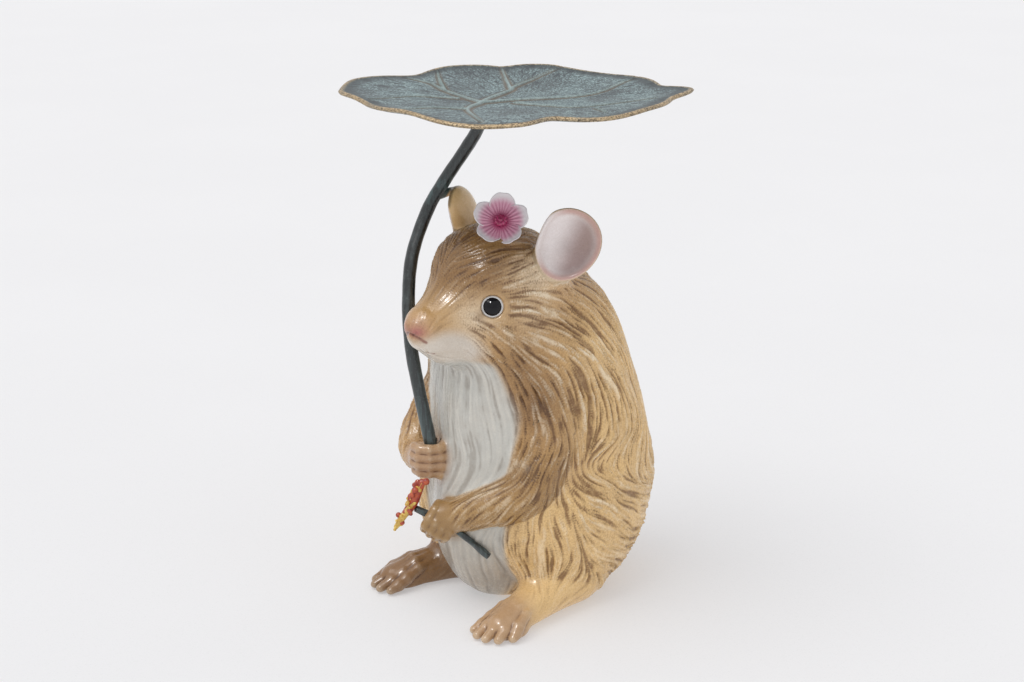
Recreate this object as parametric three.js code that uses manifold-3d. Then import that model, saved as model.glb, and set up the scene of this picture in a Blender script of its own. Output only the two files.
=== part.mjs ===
// A seated garden mouse in cast metal that holds a lily-pad leaf over its head as a small table.
// Millimetres. The mouse faces -Y and its left side is +X. +Z is up, and the origin is the middle
// of the torso's flat base on the floor.
import * as THREE from "three";
import { mergeVertices } from "three/addons/utils/BufferGeometryUtils.js";
import Module from "manifold-3d";

const wasm = await Module();
wasm.setup();

// Driving dimensions
const CLEARANCE = 0.3; // left between neighbouring pieces
const SHELL_WALL = 4; // cast wall of the torso and the head
const LEAF_CENTRE = [4, -18];
const LEAF_RIM_HEIGHT = 497;
const LEAF_DISH_DEPTH = 10;
const LEAF_THICKNESS = 4;
const STEM_DIAMETER = 12.4;
const EYE_DIAMETER = 24;
const EAR_WIDTH = 62;
const EAR_HEIGHT = 70;
const EAR_DEPTH = 13;
const EAR_WALL = 5;
const DOWEL_DIAMETER = 8;
const CORE_HOLE_DIAMETER = 24;

// The neck seam is a plane that rises towards the nape.
const NECK_POINT = new THREE.Vector3(0, -20, 262);
const NECK_NORMAL = new THREE.Vector3(0, -0.25, 0.97).normalize();
const NECK_SLEEVE_REACH = 12; // how far the sleeve inside runs to each side of the seam
const NECK_SLEEVE_WALL = 3;
const NECK_BLEND = 24;

// The body's swelling forms. Each is an ellipsoid with a centre and half-lengths, or a round cone
// between two balls, melted into the forms before it over a blend length. Paired forms stand on
// both sides.
const TORSO_FORMS = [
  { centre: [0, 24, 104], radii: [98, 116, 108], blend: 0 },
  { centre: [0, 13, 188], radii: [95, 99, 101], blend: 40 },
  { centre: [0, 8, 262], radii: [74, 72, 70], blend: 40 },
  { centre: [0, -52, 190], radii: [56, 40, 78], blend: 22 },
  { centre: [0, -45, 85], radii: [52, 62, 86], blend: 25 },
  { centre: [0, 20, 18], radii: [62, 66, 28], blend: 30 },
  { centre: [62, 4, 84], radii: [46, 86, 80], tilt: -12, blend: 12, paired: true },
  { centre: [42, -30, 238], radii: [42, 44, 48], blend: 30, paired: true },
];
const HEAD_FORMS = [
  { centre: [0, -31, 318], radii: [63, 57, 50], blend: 0 },
  { centre: [28, -58, 280], radii: [37, 46, 34], blend: 25, paired: true },
  { centre: [0, -58, 334], radii: [48, 44, 38], blend: 14 },
  { from: [0, -80, 302], to: [0, -128, 289], ends: [38, 21], blend: 24 },
  { centre: [9, -118, 274], radii: [15, 20, 13], blend: 10, paired: true },
  { centre: [0, -98, 262], radii: [20, 26, 16], blend: 14 },
];

// Limbs: places along the middle line, each with its radius.
const LEFT_ARM = [
  [48, -20, 216, 30], [66, -42, 172, 28], [70, -64, 130, 23], [40, -99, 110, 17], [12, -114, 98, 15],
];
const RIGHT_ARM = [
  [-46, -22, 224, 30], [-64, -50, 190, 26], [-70, -80, 154, 20], [-53, -98, 141, 15], [-34, -106, 145, 14],
];
const LEFT_FOOT = [[72, -8, 24, 23], [80, -62, 20, 20], [86, -114, 9, 14]];
const RIGHT_FOOT = [[-46, -22, 16, 20], [-59, -68, 15, 19], [-73, -114, 8, 14]];
const TAIL = [[6, 98, 34, 11], [-34, 112, 15, 9.5], [-76, 92, 9, 8.5], [-101, 46, 7, 7], [-104, 6, 5, 4.5]];
const LEFT_PAW = [6, -117, 94];
const RIGHT_PAW = [-27, -107, 146];

// The blossom sprig in the left paw: its twig's middle line, then the flower's two parts.
const TWIG = [[-10, -137, 107, 3.2], [10, -118, 93, 3.4], [28, -103, 77, 3], [44, -91, 61, 3.4]];
const RED_BLOSSOM = [[-5, -134, 133, 5], [-10, -139, 116, 9]];
const YELLOW_BLOSSOM = [[-12, -140, 113, 9], [-19, -147, 98, 7], [-23, -150, 88, 3]];

// The stem's middle line, from inside the right paw up past the far ear to the leaf's boss.
const STEM_LINE = [
  [-20, -104, 132], [-24, -105, 159], [-36, -109, 213], [-46, -110, 256], [-56, -104, 297],
  [-64, -92, 338], [-67, -70, 378], [-61, -53, 406], [-46, -40, 436], [-35, -33, 458], [-32, -31, 478],
];

// Anchors on the body's surface
const EYE_CENTRE = [38.5, -81.2, 306.7];
const BLOSSOM_CENTRE = [16, -50.2, 377.2];
const BLOSSOM_FACING = new THREE.Vector3(0.6, -0.56, 0.57).normalize();
const LEFT_EAR = { centre: [73, -15, 358], facing: [0.76, -0.63, 0.14], root: [46, -14, 326] };
const RIGHT_EAR = { centre: [-58, -32, 366], facing: [-0.9, -0.42, -0.12], root: [-44, -18, 328] };

// Leaf edge: angle in degrees from +X about the leaf's centre, and the distance to the edge.
const LEAF_EDGE = [
  [-151, 169], [-133, 166], [-109, 150], [-90, 154], [-57, 171], [-42, 163], [-29, 142], [-12, 150],
  [10, 149], [32, 146], [50, 163], [63, 139], [90, 141], [114, 135], [130, 149], [144, 135], [166, 156],
  [182, 137],
];

const X_AXIS = new THREE.Vector3(1, 0, 0);
const Y_AXIS = new THREE.Vector3(0, 1, 0);
const Z_AXIS = new THREE.Vector3(0, 0, 1);
const vector = (place) => new THREE.Vector3(place[0], place[1], place[2]);

// ---- The body as a field: negative inside, zero on the surface ----

function ellipsoidDistance(point, form) {
  const local = point.clone();
  if (form.paired) local.x = Math.abs(local.x);
  local.sub(vector(form.centre));
  if (form.tilt) local.applyAxisAngle(X_AXIS, THREE.MathUtils.degToRad(-form.tilt));
  const radii = vector(form.radii);
  const once = local.clone().divide(radii);
  const twice = once.clone().divide(radii);
  return (once.length() * (once.length() - 1)) / Math.max(twice.length(), 1e-9);
}

function roundConeDistance(point, form) {
  const axis = new THREE.Line3(vector(form.from), vector(form.to));
  const along = axis.closestPointToPointParameter(point, true);
  const nearest = axis.at(along, new THREE.Vector3());
  return point.distanceTo(nearest) - THREE.MathUtils.lerp(form.ends[0], form.ends[1], along);
}

function melt(a, b, blend) {
  const overlap = blend > 0 ? Math.max(blend - Math.abs(a - b), 0) / blend : 0;
  return Math.min(a, b) - (overlap * overlap * blend) / 4;
}

function formsDistance(point, forms) {
  return forms.reduce((sum, form) => {
    const own = form.centre ? ellipsoidDistance(point, form) : roundConeDistance(point, form);
    return melt(sum, own, form.blend);
  }, Infinity);
}

const neckHeight = (point) => point.clone().sub(NECK_POINT).dot(NECK_NORMAL);

function bodyDistance(point) {
  return melt(formsDistance(point, TORSO_FORMS), formsDistance(point, HEAD_FORMS), NECK_BLEND);
}

// ---- From geometry to solids and back ----

function solid(geometry) {
  const bare = new THREE.BufferGeometry().setAttribute("position", geometry.getAttribute("position"));
  bare.setIndex(geometry.index);
  const merged = mergeVertices(bare, 1e-3);
  const corners = merged.index.array;
  const kept = [];
  for (let i = 0; i < corners.length; i += 3) {
    const [a, b, c] = corners.slice(i, i + 3);
    if (a !== b && b !== c && c !== a) kept.push(a, b, c);
  }
  const vertProperties = merged.attributes.position.array;
  const triVerts = new Uint32Array(kept);
  return new wasm.Manifold(new wasm.Mesh({ numProp: 3, vertProperties, triVerts }));
}

function geometryOf(piece) {
  const { vertProperties, triVerts } = piece.getMesh();
  const geometry = new THREE.BufferGeometry();
  geometry.setAttribute("position", new THREE.BufferAttribute(new Float32Array(vertProperties), 3));
  geometry.setIndex(new THREE.BufferAttribute(new Uint32Array(triVerts), 1));
  return geometry;
}

// ---- Shape makers ----

// Distance from the centre along a ray to where the field first reaches the level.
function reach(centre, ray, field, level) {
  const stride = 3;
  const longest = 400;
  const value = (distance) => field(centre.clone().addScaledVector(ray, distance)) - level;
  let far = stride;
  while (far < longest && value(far) < 0) far += stride;
  let near = far - stride;
  for (let halving = 0; halving < 16; halving += 1) {
    const middle = (near + far) / 2;
    if (value(middle) < 0) near = middle;
    else far = middle;
  }
  return (near + far) / 2;
}

// A closed skin on the field's level: a sphere's vertices pushed out along their rays.
function skin(centre, field, level, around, rings) {
  const geometry = new THREE.SphereGeometry(1, around, rings).rotateX(Math.PI / 2);
  const position = geometry.getAttribute("position");
  const ray = new THREE.Vector3();
  for (let i = 0; i < position.count; i += 1) {
    ray.fromBufferAttribute(position, i).normalize();
    const place = centre.clone().addScaledVector(ray, reach(centre, ray, field, level));
    position.setXYZ(i, place.x, place.y, place.z);
  }
  return solid(geometry);
}

// A limb: rings around a curve through the stations, closed by a dome at each end.
function limb(stations, sides = 12, rings = 11) {
  const curve = new THREE.CatmullRomCurve3(stations.map(vector));
  const length = curve.getLength();
  const fineness = 240;
  const frames = curve.computeFrenetFrames(fineness);
  const radiusAt = (along) => {
    const step = curve.getUtoTmapping(along) * (stations.length - 1);
    const index = Math.min(Math.floor(step), stations.length - 2);
    return THREE.MathUtils.lerp(stations[index][3], stations[index + 1][3], step - index);
  };
  const dome = (fromEnd, radius) => Math.sqrt(Math.max(0, 1 - Math.max(0, 1 - fromEnd / radius) ** 2));
  const geometry = new THREE.CylinderGeometry(1, 1, 1, sides, rings, true);
  const position = geometry.getAttribute("position");
  for (let i = 0; i < position.count; i += 1) {
    const even = 0.5 - position.getY(i);
    const along = (1 - Math.cos(Math.PI * even)) / 2;
    const radius = radiusAt(along);
    const spread = radius * dome(along * length, radius) * dome((1 - along) * length, radius);
    const frame = Math.round(along * fineness);
    const place = curve.getPointAt(along);
    place.addScaledVector(frames.normals[frame], position.getX(i) * spread);
    place.addScaledVector(frames.binormals[frame], -position.getZ(i) * spread);
    position.setXYZ(i, place.x, place.y, place.z);
  }
  const made = solid(geometry);
  return made.volume() > 0 ? made : solid(turnedInsideOut(geometry));
}

function turnedInsideOut(geometry) {
  const corners = geometry.index.array;
  for (let i = 0; i < corners.length; i += 3) {
    [corners[i + 1], corners[i + 2]] = [corners[i + 2], corners[i + 1]];
  }
  return geometry;
}

// A rod with straight ends between two places.
function rod(from, to, radius, sides = 16) {
  const start = vector(from);
  const end = vector(to);
  const geometry = new THREE.CylinderGeometry(radius, radius, start.distanceTo(end), sides);
  const turn = new THREE.Quaternion().setFromUnitVectors(Y_AXIS, end.clone().sub(start).normalize());
  geometry.applyQuaternion(turn).translate(...start.add(end).multiplyScalar(0.5).toArray());
  return solid(geometry);
}

function ball(centre, radii, around = 12, rings = 8) {
  const geometry = new THREE.SphereGeometry(1, around, rings).scale(...radii).translate(...centre);
  return solid(geometry);
}

// A rounded toe or finger between two places.
function digit(from, to, radius) {
  const start = vector(from);
  const end = vector(to);
  const geometry = new THREE.CapsuleGeometry(radius, start.distanceTo(end), 2, 7);
  const turn = new THREE.Quaternion().setFromUnitVectors(Y_AXIS, end.clone().sub(start).normalize());
  geometry.applyQuaternion(turn).translate(...start.add(end).multiplyScalar(0.5).toArray());
  return solid(geometry);
}

// A large block whose lower face is the given plane, for cutting.
function halfSpace(point, normal) {
  const side = 900;
  const turn = new THREE.Quaternion().setFromUnitVectors(Z_AXIS, normal);
  const geometry = new THREE.BoxGeometry(side, side, side).translate(0, 0, side / 2);
  return solid(geometry.applyQuaternion(turn).translate(...point.toArray()));
}

const joined = (pieces) => pieces.reduce((sum, piece) => sum.add(piece));
const largestBody = (piece) => piece.decompose().sort((a, b) => b.volume() - a.volume())[0];
const alongNeck = (offset) => NECK_POINT.clone().addScaledVector(NECK_NORMAL, offset);
const aboveNeck = (offset) => halfSpace(alongNeck(offset), NECK_NORMAL);
const belowNeck = (offset) => halfSpace(alongNeck(offset), NECK_NORMAL.clone().negate());

// ---- Torso, head and the sleeve between them ----

const TORSO_MIDDLE = new THREE.Vector3(0, 6, 128);
const HEAD_MIDDLE = new THREE.Vector3(0, -42, 302);
const TORSO_AROUND = 30;
const TORSO_RINGS = 21;
const HEAD_AROUND = 28;
const HEAD_RINGS = 19;
const CAVITY_AROUND = 20;
const CAVITY_RINGS = 13;
const SEAM_OVERRUN = 20; // skins run past the neck seam by this before they are cut
const belowSeam = (point) => Math.max(bodyDistance(point), neckHeight(point) - SEAM_OVERRUN);
const aboveSeam = (point) => Math.max(bodyDistance(point), -neckHeight(point) - SEAM_OVERRUN);
const floorBelow = halfSpace(new THREE.Vector3(), Z_AXIS.clone().negate());

const torsoGrown = skin(TORSO_MIDDLE, belowSeam, CLEARANCE, TORSO_AROUND, TORSO_RINGS);
const headGrown = skin(HEAD_MIDDLE, aboveSeam, CLEARANCE, HEAD_AROUND, HEAD_RINGS);

function torsoCavity(wall) {
  const walls = (point) => {
    const sides = Math.max(bodyDistance(point) + wall, neckHeight(point) - SEAM_OVERRUN);
    return Math.max(sides, wall - point.z);
  };
  return skin(TORSO_MIDDLE, walls, 0, CAVITY_AROUND, CAVITY_RINGS);
}

function headCavity(wall) {
  const walls = (point) => Math.max(bodyDistance(point) + wall, -neckHeight(point) - SEAM_OVERRUN);
  return skin(HEAD_MIDDLE, walls, 0, CAVITY_AROUND, CAVITY_RINGS);
}

function torsoShell() {
  const coreHole = rod([0, 26, -5], [0, 26, 2 * SHELL_WALL], CORE_HOLE_DIAMETER / 2, 20);
  return skin(TORSO_MIDDLE, belowSeam, 0, TORSO_AROUND, TORSO_RINGS)
    .subtract(floorBelow)
    .subtract(aboveNeck(-CLEARANCE / 2))
    .subtract(torsoCavity(SHELL_WALL))
    .subtract(coreHole);
}

function headShell() {
  return skin(HEAD_MIDDLE, aboveSeam, 0, HEAD_AROUND, HEAD_RINGS)
    .subtract(belowNeck(CLEARANCE / 2))
    .subtract(headCavity(SHELL_WALL));
}

// A band inside the neck that backs the seam: it fills both cavities near the seam, less its bore.
function neckSleeve() {
  const inset = SHELL_WALL + CLEARANCE;
  const bore = (point) => {
    const ends = Math.abs(neckHeight(point)) - NECK_SLEEVE_REACH - SEAM_OVERRUN;
    return Math.max(bodyDistance(point) + inset + NECK_SLEEVE_WALL, ends);
  };
  const lower = torsoCavity(inset).subtract(aboveNeck(0)).subtract(belowNeck(-NECK_SLEEVE_REACH));
  const upper = headCavity(inset).subtract(belowNeck(0)).subtract(aboveNeck(NECK_SLEEVE_REACH));
  return largestBody(lower.add(upper).subtract(skin(NECK_POINT, bore, 0, CAVITY_AROUND, 8)));
}

// ---- Limbs ----

const FINGER_COUNT = 4;
const FINGER_RADIUS = 4.5;
const FINGER_SPACING = 7.65;
const LEFT_PAW_RADII = [16, 13, 19];
const RIGHT_PAW_RADII = [17, 14, 17];

// Fingers lie side by side over what the paw holds.
function fingers(paw, spread, curl) {
  return Array.from({ length: FINGER_COUNT }, (_, index) => {
    const offset = index - (FINGER_COUNT - 1) / 2;
    const root = vector(paw).addScaledVector(spread, offset * FINGER_SPACING);
    const tip = root.clone().add(curl);
    return digit(root.toArray(), tip.toArray(), FINGER_RADIUS);
  });
}

function leftArm() {
  const spread = new THREE.Vector3(-0.25, 0.1, -0.96);
  const curl = new THREE.Vector3(-4, -9, -7);
  const paw = ball(LEFT_PAW, LEFT_PAW_RADII);
  return joined([limb(LEFT_ARM), paw, ...fingers(LEFT_PAW, spread, curl)]);
}

function rightArm() {
  const spread = new THREE.Vector3(0.1, -0.1, 0.98);
  const curl = new THREE.Vector3(12, -7, -1);
  const paw = ball(RIGHT_PAW, RIGHT_PAW_RADII);
  return joined([limb(RIGHT_ARM), paw, ...fingers(RIGHT_PAW, spread, curl)]);
}

const TOE_COUNT = 5;
const TOE_RADIUS = 7.2;
const TOE_SPACING = 8.4;
const TOE_SETBACK = 14; // toes start this far behind the limb's end
const LEFT_TOES = { length: 25, fanDegrees: 44 };
const RIGHT_TOES = { length: 24, fanDegrees: 38 };

// A flat-soled foot whose toes start side by side across the ball of the foot and fan out.
function foot(stations, { length, fanDegrees }) {
  const heel = vector(stations[0]);
  const front = vector(stations.at(-1));
  const forward = front.clone().sub(heel).setZ(0).normalize();
  const across = forward.clone().cross(Z_AXIS);
  const toes = Array.from({ length: TOE_COUNT }, (_, index) => {
    const place = index / (TOE_COUNT - 1) - 0.5;
    const heading = forward.clone().applyAxisAngle(Z_AXIS, THREE.MathUtils.degToRad(-fanDegrees * place));
    const root = front.clone().addScaledVector(across, place * TOE_SPACING * (TOE_COUNT - 1));
    root.addScaledVector(forward, -TOE_SETBACK).setZ(TOE_RADIUS + 2);
    const tip = root.clone().addScaledVector(heading, length).setZ(TOE_RADIUS - 1);
    return digit(root.toArray(), tip.toArray(), TOE_RADIUS);
  });
  return joined([limb(stations), ...toes]).subtract(floorBelow);
}

// ---- Ears, eyes ----

// A cupped ear: a shallow bowl on the local Y axis, stretched to the ear's width and height, with a
// root that runs into the head.
function ear({ centre, facing, root }) {
  const outline = [
    [0, -EAR_DEPTH], [0.45, -EAR_DEPTH * 0.86], [0.78, -EAR_DEPTH * 0.55], [1, 0], [0.985, EAR_WALL * 0.35],
    [0.94, EAR_WALL * 0.4], [0.7, EAR_WALL - EAR_DEPTH * 0.62], [0.4, EAR_WALL - EAR_DEPTH * 0.9],
    [0, EAR_WALL - EAR_DEPTH],
  ].map(([radius, height]) => new THREE.Vector2(radius, height));
  const geometry = new THREE.LatheGeometry(outline, 20).scale(EAR_WIDTH / 2, 1, EAR_HEIGHT / 2);
  const forward = vector(facing).normalize();
  const crown = vector(centre).sub(vector(root)).projectOnPlane(forward).normalize();
  const across = forward.clone().cross(crown);
  const placed = new THREE.Matrix4().makeBasis(across, forward, crown).setPosition(...centre);
  const back = vector(centre).addScaledVector(forward, -EAR_DEPTH - 8);
  const rootLimb = limb([[...back.toArray(), 12], [...root, 17]], 10, 6);
  return largestBody(solid(geometry.applyMatrix4(placed)).add(rootLimb).subtract(headGrown));
}

const mirrored = ([x, y, z]) => [-x, y, z];

// ---- Leaf, boss and stem ----

const closedLeafEdge = [...LEAF_EDGE, [LEAF_EDGE[0][0] + 360, LEAF_EDGE[0][1]]];

function edgeDistance(angle) {
  const first = LEAF_EDGE[0][0];
  const degrees = first + THREE.MathUtils.euclideanModulo(THREE.MathUtils.radToDeg(angle) - first, 360);
  const after = closedLeafEdge.findIndex(([at]) => at > degrees);
  const [startAngle, startDistance] = closedLeafEdge[after - 1];
  const [endAngle, endDistance] = closedLeafEdge[after];
  const share = THREE.MathUtils.smoothstep(degrees, startAngle, endAngle);
  return THREE.MathUtils.lerp(startDistance, endDistance, share);
}

function leafTray(grown) {
  const rings = [0, 0.35, 0.7, 1];
  const half = LEAF_THICKNESS / 2 + grown;
  const height = (share) => -LEAF_DISH_DEPTH * (1 - share * share);
  const under = rings.map((share) => new THREE.Vector2(share, height(share) - half));
  const over = rings.map((share) => new THREE.Vector2(share, height(share) + half)).reverse();
  const geometry = new THREE.LatheGeometry([...under, ...over], 54).rotateX(Math.PI / 2);
  const position = geometry.getAttribute("position");
  for (let i = 0; i < position.count; i += 1) {
    const angle = Math.atan2(position.getY(i), position.getX(i));
    const share = Math.hypot(position.getX(i), position.getY(i));
    const distance = share * edgeDistance(angle);
    position.setX(i, Math.cos(angle) * distance);
    position.setY(i, Math.sin(angle) * distance);
  }
  geometry.translate(LEAF_CENTRE[0], LEAF_CENTRE[1], LEAF_RIM_HEIGHT - LEAF_THICKNESS / 2);
  return solid(geometry);
}

function stem(radius) {
  const quarterSides = 5;
  const section = new THREE.Shape().absarc(0, 0, radius, 0, 2 * Math.PI);
  const path = new THREE.CatmullRomCurve3(STEM_LINE.map(vector));
  const geometry = new THREE.ExtrudeGeometry(section, {
    steps: 22,
    curveSegments: quarterSides,
    bevelEnabled: false,
    extrudePath: path,
  });
  return solid(geometry);
}

const leafCentreHeight = LEAF_RIM_HEIGHT - LEAF_THICKNESS / 2 - LEAF_DISH_DEPTH;
const stemTop = vector(STEM_LINE.at(-1));
const BOSS_DIAMETER = 30;
const BOSS_TOP_ABOVE_STEM = 9;
const SOCKET_DEPTH = 14;

function leafBoss() {
  const top = stemTop.clone().setZ(stemTop.z + BOSS_TOP_ABOVE_STEM);
  const bottom = stemTop.clone().setZ(stemTop.z - SOCKET_DEPTH);
  const flare = rod(bottom.toArray(), top.toArray(), BOSS_DIAMETER / 2, 24);
  return flare.subtract(leafTray(CLEARANCE)).subtract(stem(STEM_DIAMETER / 2 + CLEARANCE));
}

// The screw that locks the boss on the stem, across the socket.
function lockScrewLine() {
  const outward = new THREE.Vector3(1, 0.4, 0).normalize();
  const seat = stemTop.clone().setZ(stemTop.z - SOCKET_DEPTH / 2);
  const tip = seat.clone().addScaledVector(outward, STEM_DIAMETER / 2 + 2 * CLEARANCE);
  return [tip, seat.clone().addScaledVector(outward, BOSS_DIAMETER / 2 + 2)];
}

const LOCK_SCREW_RADIUS = 2.5;
const lockScrew = (grown) => {
  const [tip, head] = lockScrewLine();
  return rod(tip.toArray(), head.toArray(), LOCK_SCREW_RADIUS + grown, 12);
};

// ---- Blossom on the crown ----

const BLOSSOM_TURN = new THREE.Quaternion().setFromUnitVectors(Z_AXIS, BLOSSOM_FACING);
const onBlossom = (geometry) => geometry.applyQuaternion(BLOSSOM_TURN).translate(...BLOSSOM_CENTRE);
const PIN_RADIUS = 2.5;
const PIN_LENGTH = 27;
const PIN_ABOVE_HUB = 1;
const PETAL_COUNT = 5;
const PETAL_HALF = [13.2, 14.7, 2.4]; // half width, half length, half thickness
const PETAL_OFFSET = 13.7; // from the blossom's middle to the petal's
const PETAL_LIFT = 0.22; // radians the petals rise towards their tips

function blossomPetals() {
  const petals = Array.from({ length: PETAL_COUNT }, (_, index) => {
    const petal = new THREE.SphereGeometry(1, 10, 6).scale(...PETAL_HALF).rotateX(PETAL_LIFT);
    petal.translate(0, PETAL_OFFSET, 1.5).rotateZ((2 * Math.PI * index) / PETAL_COUNT);
    return solid(onBlossom(petal));
  });
  const hub = new THREE.CylinderGeometry(7, 6, 3.5, 18).rotateX(Math.PI / 2);
  return joined([solid(onBlossom(hub)), ...petals]);
}

function blossomCentre(grown) {
  const outline = [[0, -0.6], [5.6, -0.6], [6, 0.8], [4.5, 2.6], [2.2, 3.6], [0, 3.9]];
  const points = outline.map(([radius, height]) => {
    return new THREE.Vector2(radius > 0 ? radius + grown : 0, height + Math.sign(height) * grown + 2.4);
  });
  return solid(onBlossom(new THREE.LatheGeometry(points, 18).rotateX(Math.PI / 2)));
}

function blossomPin(grown) {
  const root = vector(BLOSSOM_CENTRE).addScaledVector(BLOSSOM_FACING, PIN_ABOVE_HUB - PIN_LENGTH - grown);
  const tip = vector(BLOSSOM_CENTRE).addScaledVector(BLOSSOM_FACING, PIN_ABOVE_HUB + grown);
  return rod(root.toArray(), tip.toArray(), PIN_RADIUS + grown, 12);
}

// ---- Dowels that hold the limbs: across each seam, from the limb into the torso's wall ----

const DOWELS = {
  left_arm_dowel: [[62, -60, 136], [44, -36, 138]],
  right_arm_dowel: [[-66, -66, 160], [-46, -38, 160]],
  left_foot_dowel: [[78, -52, 20], [60, -20, 24]],
  right_foot_dowel: [[-56, -60, 14], [-40, -30, 22]],
  tail_dowel: [[-4, 108, 30], [6, 84, 38]],
};
const dowel = (name, grown) => {
  const [from, to] = DOWELS[name].map(vector);
  const run = to.clone().sub(from).normalize().multiplyScalar(grown);
  return rod(from.sub(run).toArray(), to.add(run).toArray(), DOWEL_DIAMETER / 2 + grown, 14);
};
const holeFor = (name) => dowel(name, CLEARANCE);

// ---- The finished group ----

const FINISHES = {
  fur: { color: 0xb08a58, roughness: 0.5, metalness: 0 },
  paw: { color: 0xb98a6a, roughness: 0.5, metalness: 0 },
  ear: { color: 0xd8b8ae, roughness: 0.45, metalness: 0 },
  eye: { color: 0x0b0b0d, roughness: 0.08, metalness: 0 },
  bronzeGreen: { color: 0x4f6f70, roughness: 0.5, metalness: 0.3 },
  stemGreen: { color: 0x2c3a37, roughness: 0.4, metalness: 0.4 },
  petal: { color: 0xe7a9bd, roughness: 0.4, metalness: 0 },
  petalHeart: { color: 0xb02a5c, roughness: 0.4, metalness: 0 },
  red: { color: 0xb03a2c, roughness: 0.45, metalness: 0 },
  yellow: { color: 0xe3b23c, roughness: 0.45, metalness: 0 },
  castMetal: { color: 0x9a9c9e, roughness: 0.55, metalness: 0.8 },
};

const mouse = new THREE.Group();

// Each piece's own origin is its joint with the piece that carries it.
function addPiece(name, finish, pivot, piece) {
  const geometry = geometryOf(piece).translate(-pivot[0], -pivot[1], -pivot[2]);
  geometry.computeVertexNormals();
  const mesh = new THREE.Mesh(geometry, new THREE.MeshStandardMaterial(FINISHES[finish]));
  mesh.name = name;
  mesh.position.set(...pivot);
  mouse.add(mesh);
}

const stemGrown = stem(STEM_DIAMETER / 2 + CLEARANCE);
const twigGrown = limb(TWIG.map(([x, y, z, radius]) => [x, y, z, radius + CLEARANCE]), 8, 8);
const eyeball = (centre, grown) => ball(centre, Array(3).fill(EYE_DIAMETER / 2 + grown), 16, 10);
const rightEye = mirrored(EYE_CENTRE);

const torso = Object.keys(DOWELS).reduce((shell, name) => shell.subtract(holeFor(name)), torsoShell());
addPiece("torso_shell", "fur", [0, 0, 0], torso);

const head = headShell()
  .subtract(eyeball(EYE_CENTRE, CLEARANCE))
  .subtract(eyeball(rightEye, CLEARANCE))
  .subtract(blossomPin(CLEARANCE));
addPiece("head_shell", "fur", NECK_POINT.toArray(), head);
addPiece("neck_sleeve", "castMetal", NECK_POINT.toArray(), neckSleeve());

addPiece("left_ear", "ear", LEFT_EAR.root, ear(LEFT_EAR));
addPiece("right_ear", "ear", RIGHT_EAR.root, ear(RIGHT_EAR).subtract(stemGrown));
addPiece("left_eye", "eye", EYE_CENTRE, eyeball(EYE_CENTRE, 0));
addPiece("right_eye", "eye", rightEye, eyeball(rightEye, 0));

function addLimb(name, finish, dowelName, piece) {
  const seated = largestBody(piece.subtract(torsoGrown).subtract(headGrown));
  addPiece(name, finish, DOWELS[dowelName][0], seated.subtract(holeFor(dowelName)));
  addPiece(dowelName, "castMetal", DOWELS[dowelName][0], dowel(dowelName, 0));
}
addLimb("left_arm", "fur", "left_arm_dowel", leftArm().subtract(twigGrown));
addLimb("right_arm", "fur", "right_arm_dowel", rightArm().subtract(stemGrown));
addLimb("left_hind_foot", "paw", "left_foot_dowel", foot(LEFT_FOOT, LEFT_TOES));
addLimb("right_hind_foot", "paw", "right_foot_dowel", foot(RIGHT_FOOT, RIGHT_TOES));
addLimb("tail", "paw", "tail_dowel", limb(TAIL, 10, 14).subtract(floorBelow));

addPiece("leaf_stem", "stemGreen", STEM_LINE[0], stem(STEM_DIAMETER / 2));
addPiece("leaf_tray", "bronzeGreen", [...LEAF_CENTRE, leafCentreHeight], leafTray(0));
addPiece("leaf_boss", "bronzeGreen", stemTop.toArray(), leafBoss().subtract(lockScrew(CLEARANCE)));
addPiece("boss_lock_screw", "castMetal", stemTop.toArray(), lockScrew(0));

addPiece("blossom_petals", "petal", BLOSSOM_CENTRE, blossomPetals()
  .subtract(headGrown)
  .subtract(blossomCentre(CLEARANCE))
  .subtract(blossomPin(CLEARANCE)));
addPiece("blossom_centre", "petalHeart", BLOSSOM_CENTRE, blossomCentre(0).subtract(blossomPin(CLEARANCE)));
addPiece("blossom_pin", "castMetal", BLOSSOM_CENTRE, blossomPin(0));

addPiece("sprig_twig", "stemGreen", TWIG[1].slice(0, 3), limb(TWIG, 8, 8));
const redBlossom = limb(RED_BLOSSOM, 10, 7).subtract(twigGrown);
const redGrown = limb(RED_BLOSSOM.map(([x, y, z, radius]) => [x, y, z, radius + CLEARANCE]), 10, 7);
addPiece("sprig_red_blossom", "red", RED_BLOSSOM[0].slice(0, 3), largestBody(redBlossom));
const yellowBlossom = limb(YELLOW_BLOSSOM, 10, 7).subtract(twigGrown).subtract(redGrown);
addPiece("sprig_yellow_blossom", "yellow", YELLOW_BLOSSOM[0].slice(0, 3), largestBody(yellowBlossom));

export default mouse;
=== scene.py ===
# Looks for the seated mouse that holds a lily-pad leaf. The CAD frame gives every place, and the
# painted castings are made here as fine meshes. Shapes are worked out in millimetres, in the frame's
# axes: the mouse faces -Y, its left side is +X, and Z is up.
import math

import bpy
import numpy as np
from mathutils import Matrix, Vector


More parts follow.
